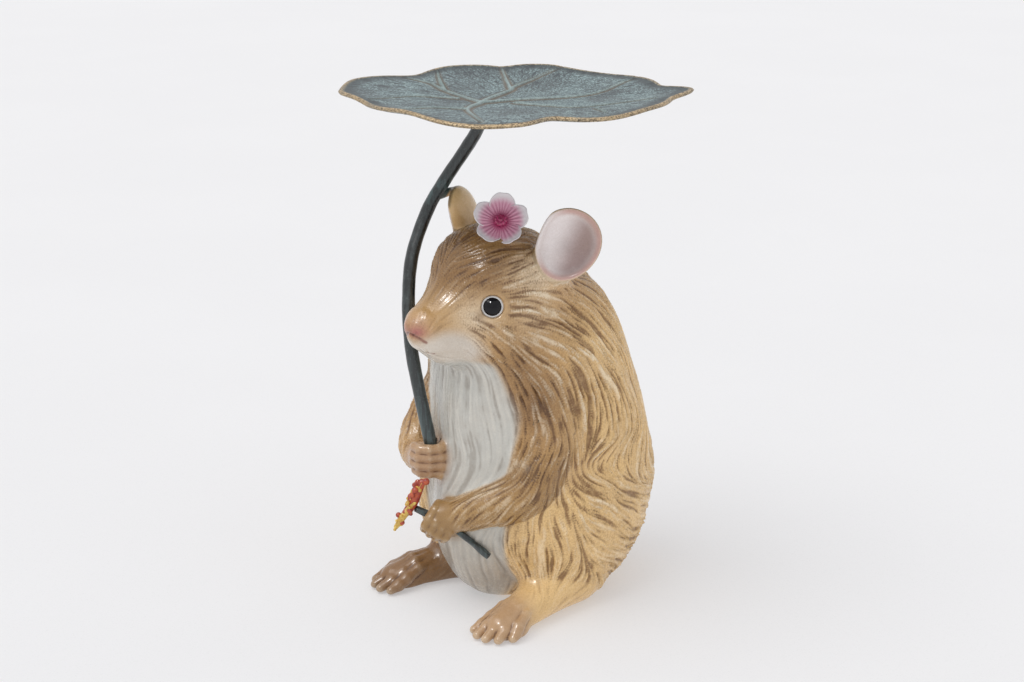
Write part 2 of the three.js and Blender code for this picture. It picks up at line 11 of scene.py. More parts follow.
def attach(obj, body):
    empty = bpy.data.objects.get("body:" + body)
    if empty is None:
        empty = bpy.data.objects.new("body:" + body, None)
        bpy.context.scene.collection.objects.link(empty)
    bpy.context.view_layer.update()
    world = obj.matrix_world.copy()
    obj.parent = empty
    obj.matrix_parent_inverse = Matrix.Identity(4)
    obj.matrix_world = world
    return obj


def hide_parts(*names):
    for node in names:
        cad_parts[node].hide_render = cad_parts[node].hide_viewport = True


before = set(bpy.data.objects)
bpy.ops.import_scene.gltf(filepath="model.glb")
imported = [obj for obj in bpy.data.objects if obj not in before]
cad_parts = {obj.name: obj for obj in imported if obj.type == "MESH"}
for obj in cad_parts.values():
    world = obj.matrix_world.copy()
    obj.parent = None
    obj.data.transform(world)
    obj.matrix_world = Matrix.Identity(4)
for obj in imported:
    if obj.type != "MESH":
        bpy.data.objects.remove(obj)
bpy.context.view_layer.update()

BODY = "root"
MM = 0.001
SEED = 7

# ---- The casting's forms, as in the CAD model ----

NECK_POINT = np.array([0.0, -20.0, 262.0])
NECK_NORMAL = np.array([0.0, -0.25, 0.97]) / math.hypot(0.25, 0.97)
NECK_BLEND = 24

# centre, half-lengths, blend, paired on both sides, tilt about X in degrees
TORSO_FORMS = [
    ((0, 24, 104), (98, 116, 108), 0, False, 0),
    ((0, 13, 188), (95, 99, 101), 40, False, 0),
    ((0, 8, 262), (74, 72, 70), 40, False, 0),
    ((0, -52, 190), (56, 40, 78), 22, False, 0),
    ((0, -45, 85), (52, 62, 86), 25, False, 0),
    ((0, 20, 18), (62, 66, 28), 30, False, 0),
    ((62, 4, 84), (46, 86, 80), 12, True, -12),
    ((42, -30, 238), (42, 44, 48), 30, True, 0),
]
SKULL = ((0, -31, 318), (63, 57, 50))
CHEEKS = ((28, -58, 280), (37, 46, 34))
FOREHEAD = ((0, -58, 334), (48, 44, 38))
MUZZLE = ((0, -80, 302, 38), (0, -128, 289, 21))
LIPS = ((9, -118, 274), (15, 20, 13))
CHIN = ((0, -98, 262), (20, 26, 16))

# Limbs: middle line places, each with its radius
LEFT_ARM = [
    (48, -20, 216, 30), (66, -42, 172, 28), (70, -64, 130, 23), (40, -99, 110, 17), (12, -114, 98, 15),
]
RIGHT_ARM = [
    (-46, -22, 224, 30), (-64, -50, 190, 26), (-70, -80, 154, 20), (-53, -98, 141, 15), (-34, -106, 145, 14),
]
LEFT_FOOT = [(72, -8, 24, 23), (80, -62, 20, 20), (86, -114, 9, 14)]
RIGHT_FOOT = [(-46, -22, 16, 20), (-59, -68, 15, 19), (-73, -114, 8, 14)]
TAIL = [(6, 98, 34, 11), (-34, 112, 15, 9.5), (-76, 92, 9, 8.5), (-101, 46, 7, 7), (-104, 6, 5, 4.5)]
LEFT_PAW = (6, -117, 94)
RIGHT_PAW = (-27, -107, 146)
TWIG = [(-10, -137, 107, 3.2), (10, -118, 93, 3.4), (28, -103, 77, 3.0), (44, -91, 61, 3.4)]
STEM_LINE = [
    (-20, -104, 132), (-24, -105, 159), (-36, -109, 213), (-46, -110, 256), (-56, -104, 297),
    (-64, -92, 338), (-67, -70, 378), (-61, -53, 406), (-46, -40, 436), (-35, -33, 458), (-32, -31, 478),
]
STEM_RADIUS = 6.2
EYE_CENTRE = np.array([38.5, -81.2, 306.7])
EYE_RADIUS = 12.0
EAR_HALF = (31.0, 35.0)
EAR_DEPTH = 13.0
EARS = {
    "left_ear": ((71, -17, 360.5), (0.76, -0.63, 0.14), (46, -14, 326)),
    "right_ear": ((-58, -32, 366), (-0.9, -0.42, -0.12), (-44, -18, 328)),
}


def unit(v):
    v = np.asarray(v, float)
    return v / np.linalg.norm(v)


def unit_rows(v):
    return v / np.maximum(np.linalg.norm(v, axis=1), 1e-9)[:, None]


def gap_to(p, place):
    """Distance from each point to one place."""
    return np.linalg.norm(p - np.array(place, float), axis=1)


def smooth(low, high, value):
    share = np.clip((value - low) / (high - low), 0, 1)
    return share * share * (3 - 2 * share)


def melt(a, b, blend):
    """The union of two fields, with a fillet about blend wide."""
    overlap = np.maximum(blend - np.abs(a - b), 0) / blend if blend else 0
    return np.minimum(a, b) - overlap * overlap * blend / 4


def carve(a, tool, blend):
    return -melt(-a, tool, blend)


def ellipsoid(p, centre, radii, tilt=0.0):
    q = p - np.array(centre, np.float32)
    if tilt:
        c, s = math.cos(math.radians(-tilt)), math.sin(math.radians(-tilt))
        q = np.stack([q[:, 0], q[:, 1] * c - q[:, 2] * s, q[:, 1] * s + q[:, 2] * c], 1)
    once = q / np.array(radii, np.float32)
    length = np.sqrt((once**2).sum(1))
    twice = np.sqrt(((once / np.array(radii, np.float32)) ** 2).sum(1))
    return length * (length - 1) / np.maximum(twice, 1e-9)


def round_cone(p, a, b):
    """Distance to a rod between two balls, each given as x, y, z and radius."""
    start, run = np.array(a[:3], np.float32), np.array(b[:3], np.float32) - np.array(a[:3], np.float32)
    share = np.clip(((p - start) @ run) / max(float(run @ run), 1e-9), 0, 1)
    gap = p - start - share[:, None] * run
    return np.sqrt((gap**2).sum(1)) - (a[3] + (b[3] - a[3]) * share)


def mirrored(p):
    """The points, with those of the right side taken to the left."""
    return np.concatenate([np.abs(p[:, :1]), p[:, 1:]], 1)


def spline(stations, per_span=5):
    """Points on a smooth curve through the stations."""
    s = np.array(stations, float)
    s = np.vstack([2 * s[0] - s[1], s, 2 * s[-1] - s[-2]])
    made = []
    for k in range(1, len(s) - 2):
        a, b, c, d = s[k - 1 : k + 3]
        for t in np.linspace(0, 1, per_span, endpoint=False):
            made.append(0.5 * (
                2 * b + (c - a) * t + (2 * a - 5 * b + 4 * c - d) * t**2 + (3 * b - a - 3 * c + d) * t**3
            ))
    return np.array(made + [s[-2]])


def tube(p, stations, per_span=4):
    """Distance to a smooth tube through the stations."""
    line = spline(stations, per_span)
    d = np.full(len(p), 1e3, np.float32)
    for a, b in zip(line, line[1:]):
        d = np.minimum(d, round_cone(p, a, b))
    return d


def chain(p, stations, blend=0.0):
    """Distance to straight rods from station to station, melted at the joints."""
    d = np.full(len(p), 1e3, np.float32)
    for a, b in zip(stations, stations[1:]):
        d = melt(d, round_cone(p, a, b), blend)
    return d


FAR = 30.0


def nearby(p, stations, field):
    """The field near the stations, and a flat FAR where it can't matter."""
    s = np.array([tuple(t[:3]) for t in stations], float)
    reach = max(t[3] for t in stations) + FAR
    inside = ((p > s.min(0) - reach) & (p < s.max(0) + reach)).all(1)
    d = np.full(len(p), FAR, np.float32)
    if inside.any():
        d[inside] = np.minimum(field(p[inside]), FAR)
    return d


# ---- Torso and head ----


# The valley between the flank and the haunch: a rod that lies mostly outside the body cuts it.
CREASE = [(104, -62, 126, 13), (109, -24, 138, 15), (109, 12, 147, 15), (106, 40, 152, 14), (99, 68, 152, 11)]


def torso(p):
    d = None
    q = mirrored(p)
    for centre, radii, blend, paired, tilt in TORSO_FORMS:
        own = ellipsoid(q if paired else p, centre, radii, tilt)
        d = own if d is None else melt(d, own, blend)
    return carve(d, nearby(q, CREASE, lambda near: tube(near, CREASE)), 9)


NOSE = np.array([0.0, -145.5, 292.0])


def head(p):
    q = mirrored(p)
    d = melt(ellipsoid(p, *SKULL), ellipsoid(q, *CHEEKS), 25)
    d = melt(d, ellipsoid(p, *FOREHEAD), 14)
    d = melt(d, round_cone(p, *MUZZLE), 24)
    d = melt(d, ellipsoid(q, *LIPS), 10)
    return melt(d, ellipsoid(p, *CHIN), 14)


def on_head(stations):
    """Stations of x, y, z and radius, moved onto the head's surface."""
    at = np.array([station[:3] for station in stations], np.float32)
    for _ in range(3):
        steps = [np.array(axis, np.float32) for axis in np.eye(3)]
        out = np.stack([head(at + step) - head(at - step) for step in steps], 1)
        out /= np.linalg.norm(out, axis=1)[:, None]
        at = at - out * head(at)[:, None]
    return [tuple(place) + (station[3],) for place, station in zip(at.tolist(), stations)]


EYE_AXIS = unit((0.745, -0.615, 0.26))
NOSTRIL = on_head([(1, -149, 286.5, 0.8), (8, -146, 283, 1.3), (14, -141, 278.5, 0.7)])
LIP_LINE = on_head([
    (13.5, -141, 277, 0.4), (13, -138, 270, 0.7), (9.5, -136, 264, 1.0), (15, -132, 265.5, 0.9),
])
JAW_LINE = on_head([(10, -135, 262, 0.6), (18, -124, 256.5, 0.8), (27, -108, 253, 0.5)])
LID_TILT = 8.4


def face_details(d, p):
    """Lids, brow, nose pad, nostrils and mouth, worked into the head's field."""
    near = (p[:, 1] < -55) & (p[:, 2] > 235) & (p[:, 2] < 345)
    if not near.any():
        return d
    q = mirrored(p[near])
    f = d[near]
    lid_middle = EYE_CENTRE + EYE_AXIS * LID_TILT
    rel = q - lid_middle.astype(np.float32)
    height = rel @ EYE_AXIS.astype(np.float32)
    radial = np.sqrt(np.maximum((rel**2).sum(1) - height**2, 0))
    lid = np.sqrt((radial - 12.6) ** 2 + (height * 1.1) ** 2) - 1.7
    f = melt(f, lid, 4)
    f = carve(f, np.sqrt((radial - 10.9) ** 2 + (height - 0.4) ** 2) - 0.8, 1.0)
    f = carve(f, np.maximum(radial - 10.2, -height - 9), 0.8)
    f = melt(f, ellipsoid(q, NOSE, (7.5, 4.6, 5.4)), 6)
    f = carve(f, chain(q, NOSTRIL, 1), 1.5)
    f = carve(f, chain(q, LIP_LINE, 1), 1.8)
    f = carve(f, chain(q, JAW_LINE, 1), 1.6)
    made = d.copy()
    made[near] = f
    return made


# ---- Limbs ----

SIDEWAYS = unit((0.668, 0.743, 0.0))  # along the face of both paws, seen from their front-left


def bent_digit(p, places, radii, blend=1.0):
    return chain(p, [tuple(place) + (radius,) for place, radius in zip(places, radii)], blend)


def left_fingers():
    """Four fingers that close over the twig, each as knuckle, bend, bend and tip."""
    along = unit(np.array(TWIG[2][:3]) - np.array(TWIG[0][:3]))
    outward = unit((0.71, -0.64, 0.29))
    down = np.cross(along, outward)
    middle = np.array(LEFT_PAW, float) + outward * -1.5
    reach = [(-13, 6), (-6, 12.5), (4, 14), (12.5, 10), (17, 3)]
    for offset, grow in zip((-10.8, -3.8, 3.2, 10.2), (0.9, 1.0, 1.0, 0.88)):
        centre = middle + along * offset
        yield [centre + down * d * grow + outward * o * grow for d, o in reach], (5.2, 5.6, 5.6, 5.2, 4.2)


def right_fingers():
    """Four level fingers, one over the other, that close round the stem."""
    outward = unit((0.72, -0.69, 0.0))
    middle = np.array(RIGHT_PAW, float)
    reach = [(-13, 3), (-7, 11), (3, 13.5), (11.5, 11), (16, 4)]
    for lift, grow in zip((12.6, 4.6, -3.6, -11.2), (0.92, 1.0, 1.0, 0.85)):
        centre = middle + np.array([0, 0, lift])
        yield [centre + SIDEWAYS * s * grow + outward * o * grow for s, o in reach], (4.8, 5.1, 5.1, 4.8, 3.8)


def arm(p, stations, paw, paw_size, fingers):
    def field(q):
        d = melt(tube(q, stations), ellipsoid(q, paw, paw_size), 8)
        for places, radii in fingers():
            d = melt(d, bent_digit(q, places, radii), 1.5)
        return d

    return nearby(p, stations, field)


TOE_COUNT = 5
TOE_RADII = (3.6, 5.2, 6.2, 5.8, 4.4)


def toe_lines(stations):
    """Five long toes that start on the foot's back, fan out and end on the floor."""
    heel, front = np.array(stations[0][:3], float), np.array(stations[-1][:3], float)
    ahead = unit((front - heel) * (1, 1, 0))
    across = np.cross(ahead, (0, 0, 1))
    for index in range(TOE_COUNT):
        place = index / (TOE_COUNT - 1) - 0.5
        fan = ahead * math.cos(place * 0.5) + across * math.sin(place * 0.5)
        outer = place * math.copysign(1, front[0])
        droop = (2 * place) ** 2
        length = 27 - 12 * droop + 9 * outer
        root = front * (1, 1, 0) - ahead * 34 + across * place * 22
        ball = front * (1, 1, 0) - ahead * 6 + across * place * 33
        tip = ball + fan * length
        knuckle = (root + ball) / 2
        bend = (ball + tip) / 2
        heights = (
            (root, 29 - 6 * droop), (knuckle, 25.5 - 6 * droop), (ball, 17 - 5 * droop),
            (bend, 10.5 - 3 * droop), (tip, 4.6),
        )
        yield [spot + (0, 0, height) for spot, height in heights]


def foot(p, stations):
    def field(q):
        d = tube(q, stations)
        front = stations[-1]
        d = melt(d, ellipsoid(q, (front[0], front[1] + 10, 4), (19, 18, 9)), 8)
        for line in toe_lines(stations):
            d = melt(d, bent_digit(q, line, TOE_RADII, 2.5), 1.6)
        return d

    return nearby(p, stations, field)


def tail(p):
    return nearby(p, TAIL, lambda q: tube(q, TAIL, 6))


# ---- Ears ----


def ear_frame(name):
    centre, facing, root = (np.array(v, float) for v in EARS[name])
    forward = unit(facing)
    crown = centre - root
    crown = unit(crown - forward * (crown @ forward))
    return centre, np.stack([np.cross(forward, crown), forward, crown])


# The ear's edge towards the face is nearly straight: where it runs, across and up the ear, and how far out.
EAR_TRIM = np.array([1.0, 0.06])
EAR_TRIM_REACH = 29.0
FAR_EAR_WIDTH = 0.84
FAR_EAR_SHIFT = 3.0
FAR_EAR_LEAN = 0.14
WELD = ((-61, -46, 394, 4.0), (-65, -63, 391, 5.0))  # joins the far ear's edge to the stem


def ear_local(p, name):
    """Places in the ear's own axes: towards the face, out of the cup, and up."""
    centre, axes = ear_frame(name)
    local = (p - centre.astype(p.dtype)) @ axes.T.astype(p.dtype)
    narrow = 1 + 0.10 * np.clip(local[:, 2] / EAR_HALF[1], -1, 1)
    aside = local[:, 0]
    if name == "right_ear":
        aside = (-aside - FAR_EAR_SHIFT - FAR_EAR_LEAN * local[:, 2]) / FAR_EAR_WIDTH
    return np.stack([aside / narrow, local[:, 1], local[:, 2]], 1)


def ear(p, name):
    centre, axes = ear_frame(name)

    def field(q):
        local = ear_local(q, name)
        trim = local[:, 0] * EAR_TRIM[0] + local[:, 2] * EAR_TRIM[1] - EAR_TRIM_REACH
        outer = ellipsoid(local, (0, 1, 0), (EAR_HALF[0], EAR_DEPTH + 2, EAR_HALF[1]))
        outer = carve(outer, -trim, 7)
        inner = ellipsoid(local, (0, 5.5, 0.5), (EAR_HALF[0] - 2.8, EAR_DEPTH + 1.5, EAR_HALF[1] - 2.8))
        inner = carve(inner, -trim - 2.6, 7)
        bowl = carve(outer, inner, 1.5)
        bowl = carve(bowl, 1.6 - local[:, 1], 2.0)
        root = np.array(EARS[name][2], float)
        back = centre - axes[1] * (EAR_DEPTH + 4) - axes[2] * 12
        stalk = round_cone(q, tuple(back) + (11.0,), tuple(root) + (16.0,))
        made = melt(bowl, stalk, 10)
        return melt(made, round_cone(q, *WELD), 4) if name == "right_ear" else made

    return nearby(p, [tuple(centre) + (EAR_HALF[1],)], field)


# ---- The whole casting ----

# Parts that are melted onto the body, with the width of each fillet
BLENDS = {"left_arm": 11, "right_arm": 12, "left_hind_foot": 20, "right_hind_foot": 20, "tail": 14,
          "left_ear": 13, "right_ear": 9}
PARTS = list(BLENDS)
CORE_HOLE_AT = 26
CORE_HOLE_RADIUS = 12
CORE_HOLE_DEPTH = 25
PART_FIELDS = {
    "left_arm": lambda p: arm(p, LEFT_ARM, LEFT_PAW, (16, 13, 19), left_fingers),
    "right_arm": lambda p: arm(p, RIGHT_ARM, RIGHT_PAW, (15, 13, 15), right_fingers),
    "left_hind_foot": lambda p: foot(p, LEFT_FOOT),
    "right_hind_foot": lambda p: foot(p, RIGHT_FOOT),
    "tail": tail,
    "left_ear": lambda p: ear(p, "left_ear"),
    "right_ear": lambda p: ear(p, "right_ear"),
}


def body(p):
    return face_details(melt(torso(p), head(p), NECK_BLEND), p)


def casting(p):
    d = body(p)
    for name in PARTS:
        d = melt(d, PART_FIELDS[name](p), BLENDS[name])
    hole = np.maximum(np.hypot(p[:, 0], p[:, 1] - CORE_HOLE_AT) - CORE_HOLE_RADIUS, p[:, 2] - CORE_HOLE_DEPTH)
    d = carve(d, hole, 1.5)
    return carve(d, p[:, 2], 3.0)


# ---- From field to mesh ----


def sampled(field, low, high, step, coarse):
    """The field on a grid, exact near the surface and rough elsewhere."""
    low = np.array(low, float)
    blocks = np.ceil((np.array(high, float) - low) / (step * coarse)).astype(int)
    offsets = (np.arange(n) + 0.5 for n in blocks)
    middles = np.stack(np.meshgrid(*offsets, indexing="ij"), -1).reshape(-1, 3) * step * coarse + low
    rough = field(middles.astype(np.float32)).reshape(blocks)
    values = np.repeat(np.repeat(np.repeat(rough, coarse, 0), coarse, 1), coarse, 2).astype(np.float32)
    close = np.abs(values) < step * coarse * 1.6 + 3
    index = np.argwhere(close)
    values[close] = field((index * step + low).astype(np.float32))
    return values, low


CORNERS = np.array([(i, j, k) for i in (0, 1) for j in (0, 1) for k in (0, 1)])
EDGES = [(a, b) for a in range(8) for b in range(a + 1, 8) if np.abs(CORNERS[a] - CORNERS[b]).sum() == 1]


def surface_net(values, low, step):
    """Quads over the grid's zero surface, one vertex in each cell that it crosses."""
    inside = values < 0
    n = np.array(values.shape) - 1
    count = sum(inside[i : n[0] + i, j : n[1] + j, k : n[2] + k].astype(np.int8) for i, j, k in CORNERS)
    cells = np.argwhere((count > 0) & (count < 8))
    number = np.full(n, -1, np.int32)
    number[tuple(cells.T)] = np.arange(len(cells))
    corner_values = np.stack([values[tuple((cells + c).T)] for c in CORNERS], 1)
    place = np.zeros((len(cells), 3))
    hits = np.zeros(len(cells))
    for a, b in EDGES:
        va, vb = corner_values[:, a], corner_values[:, b]
        cross = (va < 0) != (vb < 0)
        share = np.where(cross, va / np.where(cross, va - vb, 1), 0)
        place += cross[:, None] * (CORNERS[a] + share[:, None] * (CORNERS[b] - CORNERS[a]))
        hits += cross
    vertices = (cells + place / hits[:, None]) * step + low
    quads = []
    for axis in range(3):
        u, v = (axis + 1) % 3, (axis + 2) % 3
        first = np.take(inside, range(n[axis]), axis)
        second = np.take(inside, range(1, n[axis] + 1), axis)
        edges = np.argwhere(first != second)
        edges = edges[(edges[:, u] > 0) & (edges[:, v] > 0) & (edges[:, u] < n[u]) & (edges[:, v] < n[v])]
        ring = []
        for du, dv in ((1, 1), (0, 1), (0, 0), (1, 0)):
            cell = edges.copy()
            cell[:, u] -= du
            cell[:, v] -= dv
            ring.append(number[tuple(cell.T)])
        ring = np.stack(ring, 1)
        turned = ~first[tuple(edges.T)]
        ring[turned] = ring[turned][:, ::-1]
        quads.append(ring)
    return vertices, np.vstack(quads)


def gradient(field, p, reach=0.6):
    """The way out of the field at each point, and the field itself there."""
    corners = np.array([(1, -1, -1), (-1, -1, 1), (-1, 1, -1), (1, 1, 1)], np.float32)
    total = np.zeros_like(p, dtype=np.float32)
    value = np.zeros(len(p), np.float32)
    for corner in corners:
        d = field((p + corner * reach).astype(np.float32))
        total += d[:, None] * corner
        value += d / 4
    length = np.sqrt((total**2).sum(1))
    return total / np.maximum(length, 1e-6)[:, None], value


class Surface:
    """Vertices and quads, with the averages that smoothing and normals need."""

    def __init__(self, vertices, quads):
        self.at = np.asarray(vertices, float)
        self.quads = quads
        pairs = np.vstack([quads[:, [k, (k + 1) % 4]] for k in range(4)])
        self.a = np.concatenate([pairs[:, 0], pairs[:, 1]])
        self.b = np.concatenate([pairs[:, 1], pairs[:, 0]])
        self.degree = np.bincount(self.a, minlength=len(self.at))

    def averaged(self, values, times=1):
        values = np.asarray(values, float)
        columns = values[:, None] if values.ndim == 1 else values
        for _ in range(times):
            around = [np.bincount(self.a, columns[self.b, c], len(self.at)) for c in range(columns.shape[1])]
            columns = np.stack(around, 1) / np.maximum(self.degree, 1)[:, None]
        return columns[:, 0] if values.ndim == 1 else columns

    def normals(self):
        c = self.at[self.quads]
        face = np.cross(c[:, 2] - c[:, 0], c[:, 3] - c[:, 1])
        total = np.stack([
            sum(np.bincount(self.quads[:, k], face[:, x], len(self.at)) for k in range(4)) for x in range(3)
        ], 1)
        return unit_rows(total)


def net_of(field, low, high, step, coarse=5, projections=1):
    values, origin = sampled(field, low, high, step, coarse)
    surface = Surface(*surface_net(values, origin, step))
    surface.at = 0.5 * surface.at + 0.5 * surface.averaged(surface.at)
    for _ in range(projections):
        out, value = gradient(field, surface.at)
        surface.at = surface.at - out * np.clip(value, -step, step)[:, None]
    return surface


# ---- Fur: carved locks laid along a flow over the surface ----

# The way the fur lies: place, direction. The right side is the mirror of the left.
FLOW = [
    ((0, -140, 300), (0, 0.7, 0.7)), ((0, -105, 330), (0.1, 0.8, 0.6)),
    ((14, -85, 345), (0.35, 0.85, 0.4)), ((0, -50, 366), (0.2, 1, 0.1)),
    ((40, -60, 350), (0.55, 0.75, 0.25)), ((20, -110, 318), (0.3, 0.8, 0.5)),
    ((36, -100, 325), (0.5, 0.75, 0.35)), ((60, -60, 325), (0.35, 0.9, -0.02)),
    ((64, -66, 308), (0.3, 0.95, -0.2)), ((66, -45, 300), (0.15, 0.9, -0.4)),
    ((64, -72, 280), (0.15, 0.75, -0.65)), ((60, -78, 262), (0.1, 0.55, -0.85)),
    ((36, -105, 292), (0.4, 0.85, -0.25)), ((48, -90, 262), (0.3, 0.5, -0.8)),
    ((0, 10, 365), (0, 1, -0.3)), ((50, 20, 335), (0.1, 0.85, -0.55)),
    ((0, 45, 330), (0, 0.6, -0.8)), ((75, -25, 262), (0.1, 0.65, -0.75)),
    ((72, 20, 275), (0.1, 0.6, -0.8)), ((0, 78, 270), (0, 0.4, -0.9)),
    ((86, -38, 215), (0.05, 0.35, -0.95)), ((88, 8, 228), (0.1, 0.45, -0.9)),
    ((67, 73, 229), (0.15, 0.35, -0.9)), ((0, 112, 190), (0, 0.1, -1)),
    ((90, -20, 185), (0, 0.05, -1)), ((97, 28, 178), (0, -0.1, -1)),
    ((80, 85, 170), (0.1, 0.1, -1)), ((94, -55, 160), (-0.1, -0.25, -0.95)),
    ((95, 15, 158), (0, -0.75, -0.65)), ((98, 60, 140), (0, -0.5, -0.85)),
    ((66, -85, 180), (-0.1, -0.1, -1)), ((100, -45, 128), (0, 0.15, -1)),
    ((106, 0, 128), (0.05, 0.8, -0.6)), ((104, 40, 112), (0, 0.95, -0.3)),
    ((92, 90, 90), (-0.2, 0.9, -0.3)), ((107, -5, 95), (0, 0.85, -0.5)),
    ((105, -45, 85), (0, 0.4, -0.9)), ((80, -72, 90), (0, -0.05, -1)),
    ((80, -60, 50), (0.2, -0.2, -0.95)), ((103, 10, 60), (0, 0.75, -0.6)),
    ((85, 70, 45), (-0.2, 0.8, -0.5)), ((0, 138, 100), (0, 0.1, -1)),
    ((60, 120, 60), (-0.3, 0.4, -0.85)), ((0, 110, 30), (0, 0, -1)),
    ((80, -80, 120), (-0.35, -0.55, -0.75)), ((55, -112, 118), (-0.5, -0.45, -0.75)),
    ((45, -100, 95), (-0.5, -0.4, -0.75)), ((80, -95, 12), (0.1, -1, -0.2)),
    ((84, -40, 30), (0.1, -0.9, -0.4)), ((0, -90, 210), (0.05, 0, -1)),
    ((20, -100, 60), (0.05, 0.1, -1)), ((45, -85, 215), (0.25, 0.1, -0.95)),
    ((50, -80, 60), (0.2, 0.1, -0.95)),
]


def flow_at(p, normals, rng):
    """The fur's direction on the surface at each point."""
    side = np.where(p[:, :1] < 0, -1.0, 1.0)
    q = mirrored(p)
    total = np.zeros_like(p)
    for place, direction in FLOW:
        weight = 1 / (((q - np.array(place, float)) ** 2).sum(1) + 80.0) ** 1.8
        total += weight[:, None] * unit(direction)
    total[:, 0] *= side[:, 0] * smooth(0, 12, q[:, 0])
    total -= normals * (total * normals).sum(1)[:, None]
    flow = unit_rows(total)
    across = np.cross(normals, flow)
    turn = 0.20 * wander(p, 30.0, rng) + 0.13 * wander(p, 12.0, rng)
    return flow * np.cos(turn)[:, None] + across * np.sin(turn)[:, None]


def wander(p, scale, rng, waves=10):
    """A smooth random field about -1 to 1 that turns over in roughly scale."""
    total = np.zeros(len(p))
    for _ in range(waves):
        wave = rng.normal(size=3)
        wave *= 2 * math.pi / (scale * 2.6) / max(np.linalg.norm(wave), 0.3) * rng.uniform(0.6, 1.4)
        total += np.sin(p @ wave + rng.uniform(0, 2 * math.pi))
    return total / math.sqrt(waves / 2) / 1.6


class Coat:
    """How the fur is carved in a region: coarse, middle and fine strands, their length and depth."""

    def __init__(self, coarse, middle, fine, length, depth):
        self.coarse, self.middle, self.fine, self.length, self.depth = coarse, middle, fine, length, depth


COATS = {
    "crown": Coat(0.40, 0.85, 0.40, 16, 0.85),
    "cheek": Coat(0.85, 0.60, 0.35, 19, 1.45),
    "flank": Coat(0.90, 0.50, 0.30, 27, 1.90),
    "back": Coat(0.55, 0.80, 0.40, 44, 1.25),
    "thigh": Coat(0.90, 0.55, 0.30, 23, 1.60),
    "arm": Coat(0.45, 0.85, 0.40, 15, 0.95),
    "chest": Coat(1.00, 0.10, 0.00, 44, 0.34),
    "foot": Coat(0.30, 0.70, 0.45, 20, 0.25),
}
COAT_NAMES = list(COATS)


def on_foot(owner):
    return (owner == "left_hind_foot") | (owner == "right_hind_foot")


def coat_region(p, owner, belly):
    """The index of the coat that a place takes."""
    x, y, z = np.abs(p[:, 0]), p[:, 1], p[:, 2]
    name = np.full(len(p), COAT_NAMES.index("flank"))
    name[(y > 45) | ((y > 20) & (z > 230))] = COAT_NAMES.index("back")
    name[(z < 150 - 0.25 * (y + 60)) & (x > 40) & (y < 55)] = COAT_NAMES.index("thigh")
    name[(z > 300) | ((z > 280) & (y < -100))] = COAT_NAMES.index("crown")
    name[(z > 245) & (z <= 300) & (y < -45) & (y >= -100)] = COAT_NAMES.index("cheek")
    forearm = ((owner == "left_arm") & (z <= 165)) | ((owner == "right_arm") & (z <= 175))
    name[forearm] = COAT_NAMES.index("arm")
    name[on_foot(owner)] = COAT_NAMES.index("foot")
    name[belly > 0.5] = COAT_NAMES.index("chest")
    return name


def belly_mask(p, owner):
    """1 on the body's white front between the arms and the thighs."""
    x, y, z = np.abs(p[:, 0]), p[:, 1], p[:, 2]
    width = 46 + 16 * smooth(258, 205, z) - 14 * smooth(120, 20, z)
    front = smooth(width + 5, width - 5, x) * smooth(-48, -62, y)
    return front * smooth(258, 250, z) * (owner == "body")


def fur_strength(p, owner, muzzle, inner_ear):
    """1 where the fur is carved at full depth, 0 where the paint lies on a smooth surface."""
    x, y, z = np.abs(p[:, 0]), p[:, 1], p[:, 2]
    strength = np.ones(len(p))
    strength *= 1 - 0.85 * muzzle
    strength *= smooth(13, 22, gap_to(mirrored(p), EYE_CENTRE + EYE_AXIS * 5))
    snout = smooth(-98, -118, y) * smooth(255, 262, z)
    strength *= 1 - 0.75 * snout
    ears = (owner == "left_ear") | (owner == "right_ear")
    strength *= np.where(ears, 0.0, 1.0)
    for paw in (LEFT_PAW, RIGHT_PAW):
        strength *= smooth(20, 34, gap_to(p, paw))
    strength *= np.where(on_foot(owner), 0.35 * smooth(-95, -60, y), 1.0)
    strength *= np.where(owner == "tail", 0.0, 1.0)
    band = np.exp(-(((z - (139 + 0.10 * (y + 65))) / 8.0) ** 2)) * smooth(60, 80, x) * smooth(60, 20, y)
    strength *= 1 - 0.55 * band
    strength *= smooth(0, 10, z)
    return strength * (1 - inner_ear)


class Lattice:
    """Values on a coarse grid over the figure, read anywhere in between."""

    def __init__(self, low, high, cell, values):
        self.low, self.cell = np.array(low, np.float32), cell
        self.shape = np.ceil((np.array(high) - low) / cell).astype(int) + 2
        self.values = values(self.shape)

    def at(self, p, soft=False):
        q = (p - self.low) / self.cell
        base = np.clip(q.astype(int), 0, self.shape - 2)
        share = np.clip(q - base, 0, 1)
        if soft:
            share = share * share * (3 - 2 * share)
        flat = self.values.reshape(-1, *self.values.shape[3:])
        total = 0
        for corner in CORNERS:
            weight = np.prod(np.where(corner, share, 1 - share), axis=1)
            place = base + corner
            index = (place[:, 0] * self.shape[1] + place[:, 1]) * self.shape[2] + place[:, 2]
            value = flat[index]
            total = total + (weight[:, None] * value if value.ndim == 2 else weight * value)
        return total


FLOW_CELL = 3.5
STRAND_GRAINS = (2.5, 1.7, 1.25)  # mm between the random values that make coarse, middle and fine strands
STRAND_STRIDE = 2.4


def flow_lattice(p, flow, low, high):
    """The flow gathered into cells, spread a little way off the surface."""

    def gathered(shape):
        index = np.ravel_multi_index(tuple(((p - low) / FLOW_CELL + 0.5).astype(int).T), shape)
        total = np.stack([np.bincount(index, flow[:, c], shape.prod()) for c in range(3)], 1)
        total = total.reshape(*shape, 3).astype(np.float32)
        for axis in range(3):
            total = total + 0.6 * (np.roll(total, 1, axis) + np.roll(total, -1, axis))
        return total / np.maximum(np.linalg.norm(total, axis=3), 1e-6)[..., None]

    return Lattice(low, high, FLOW_CELL, gathered)


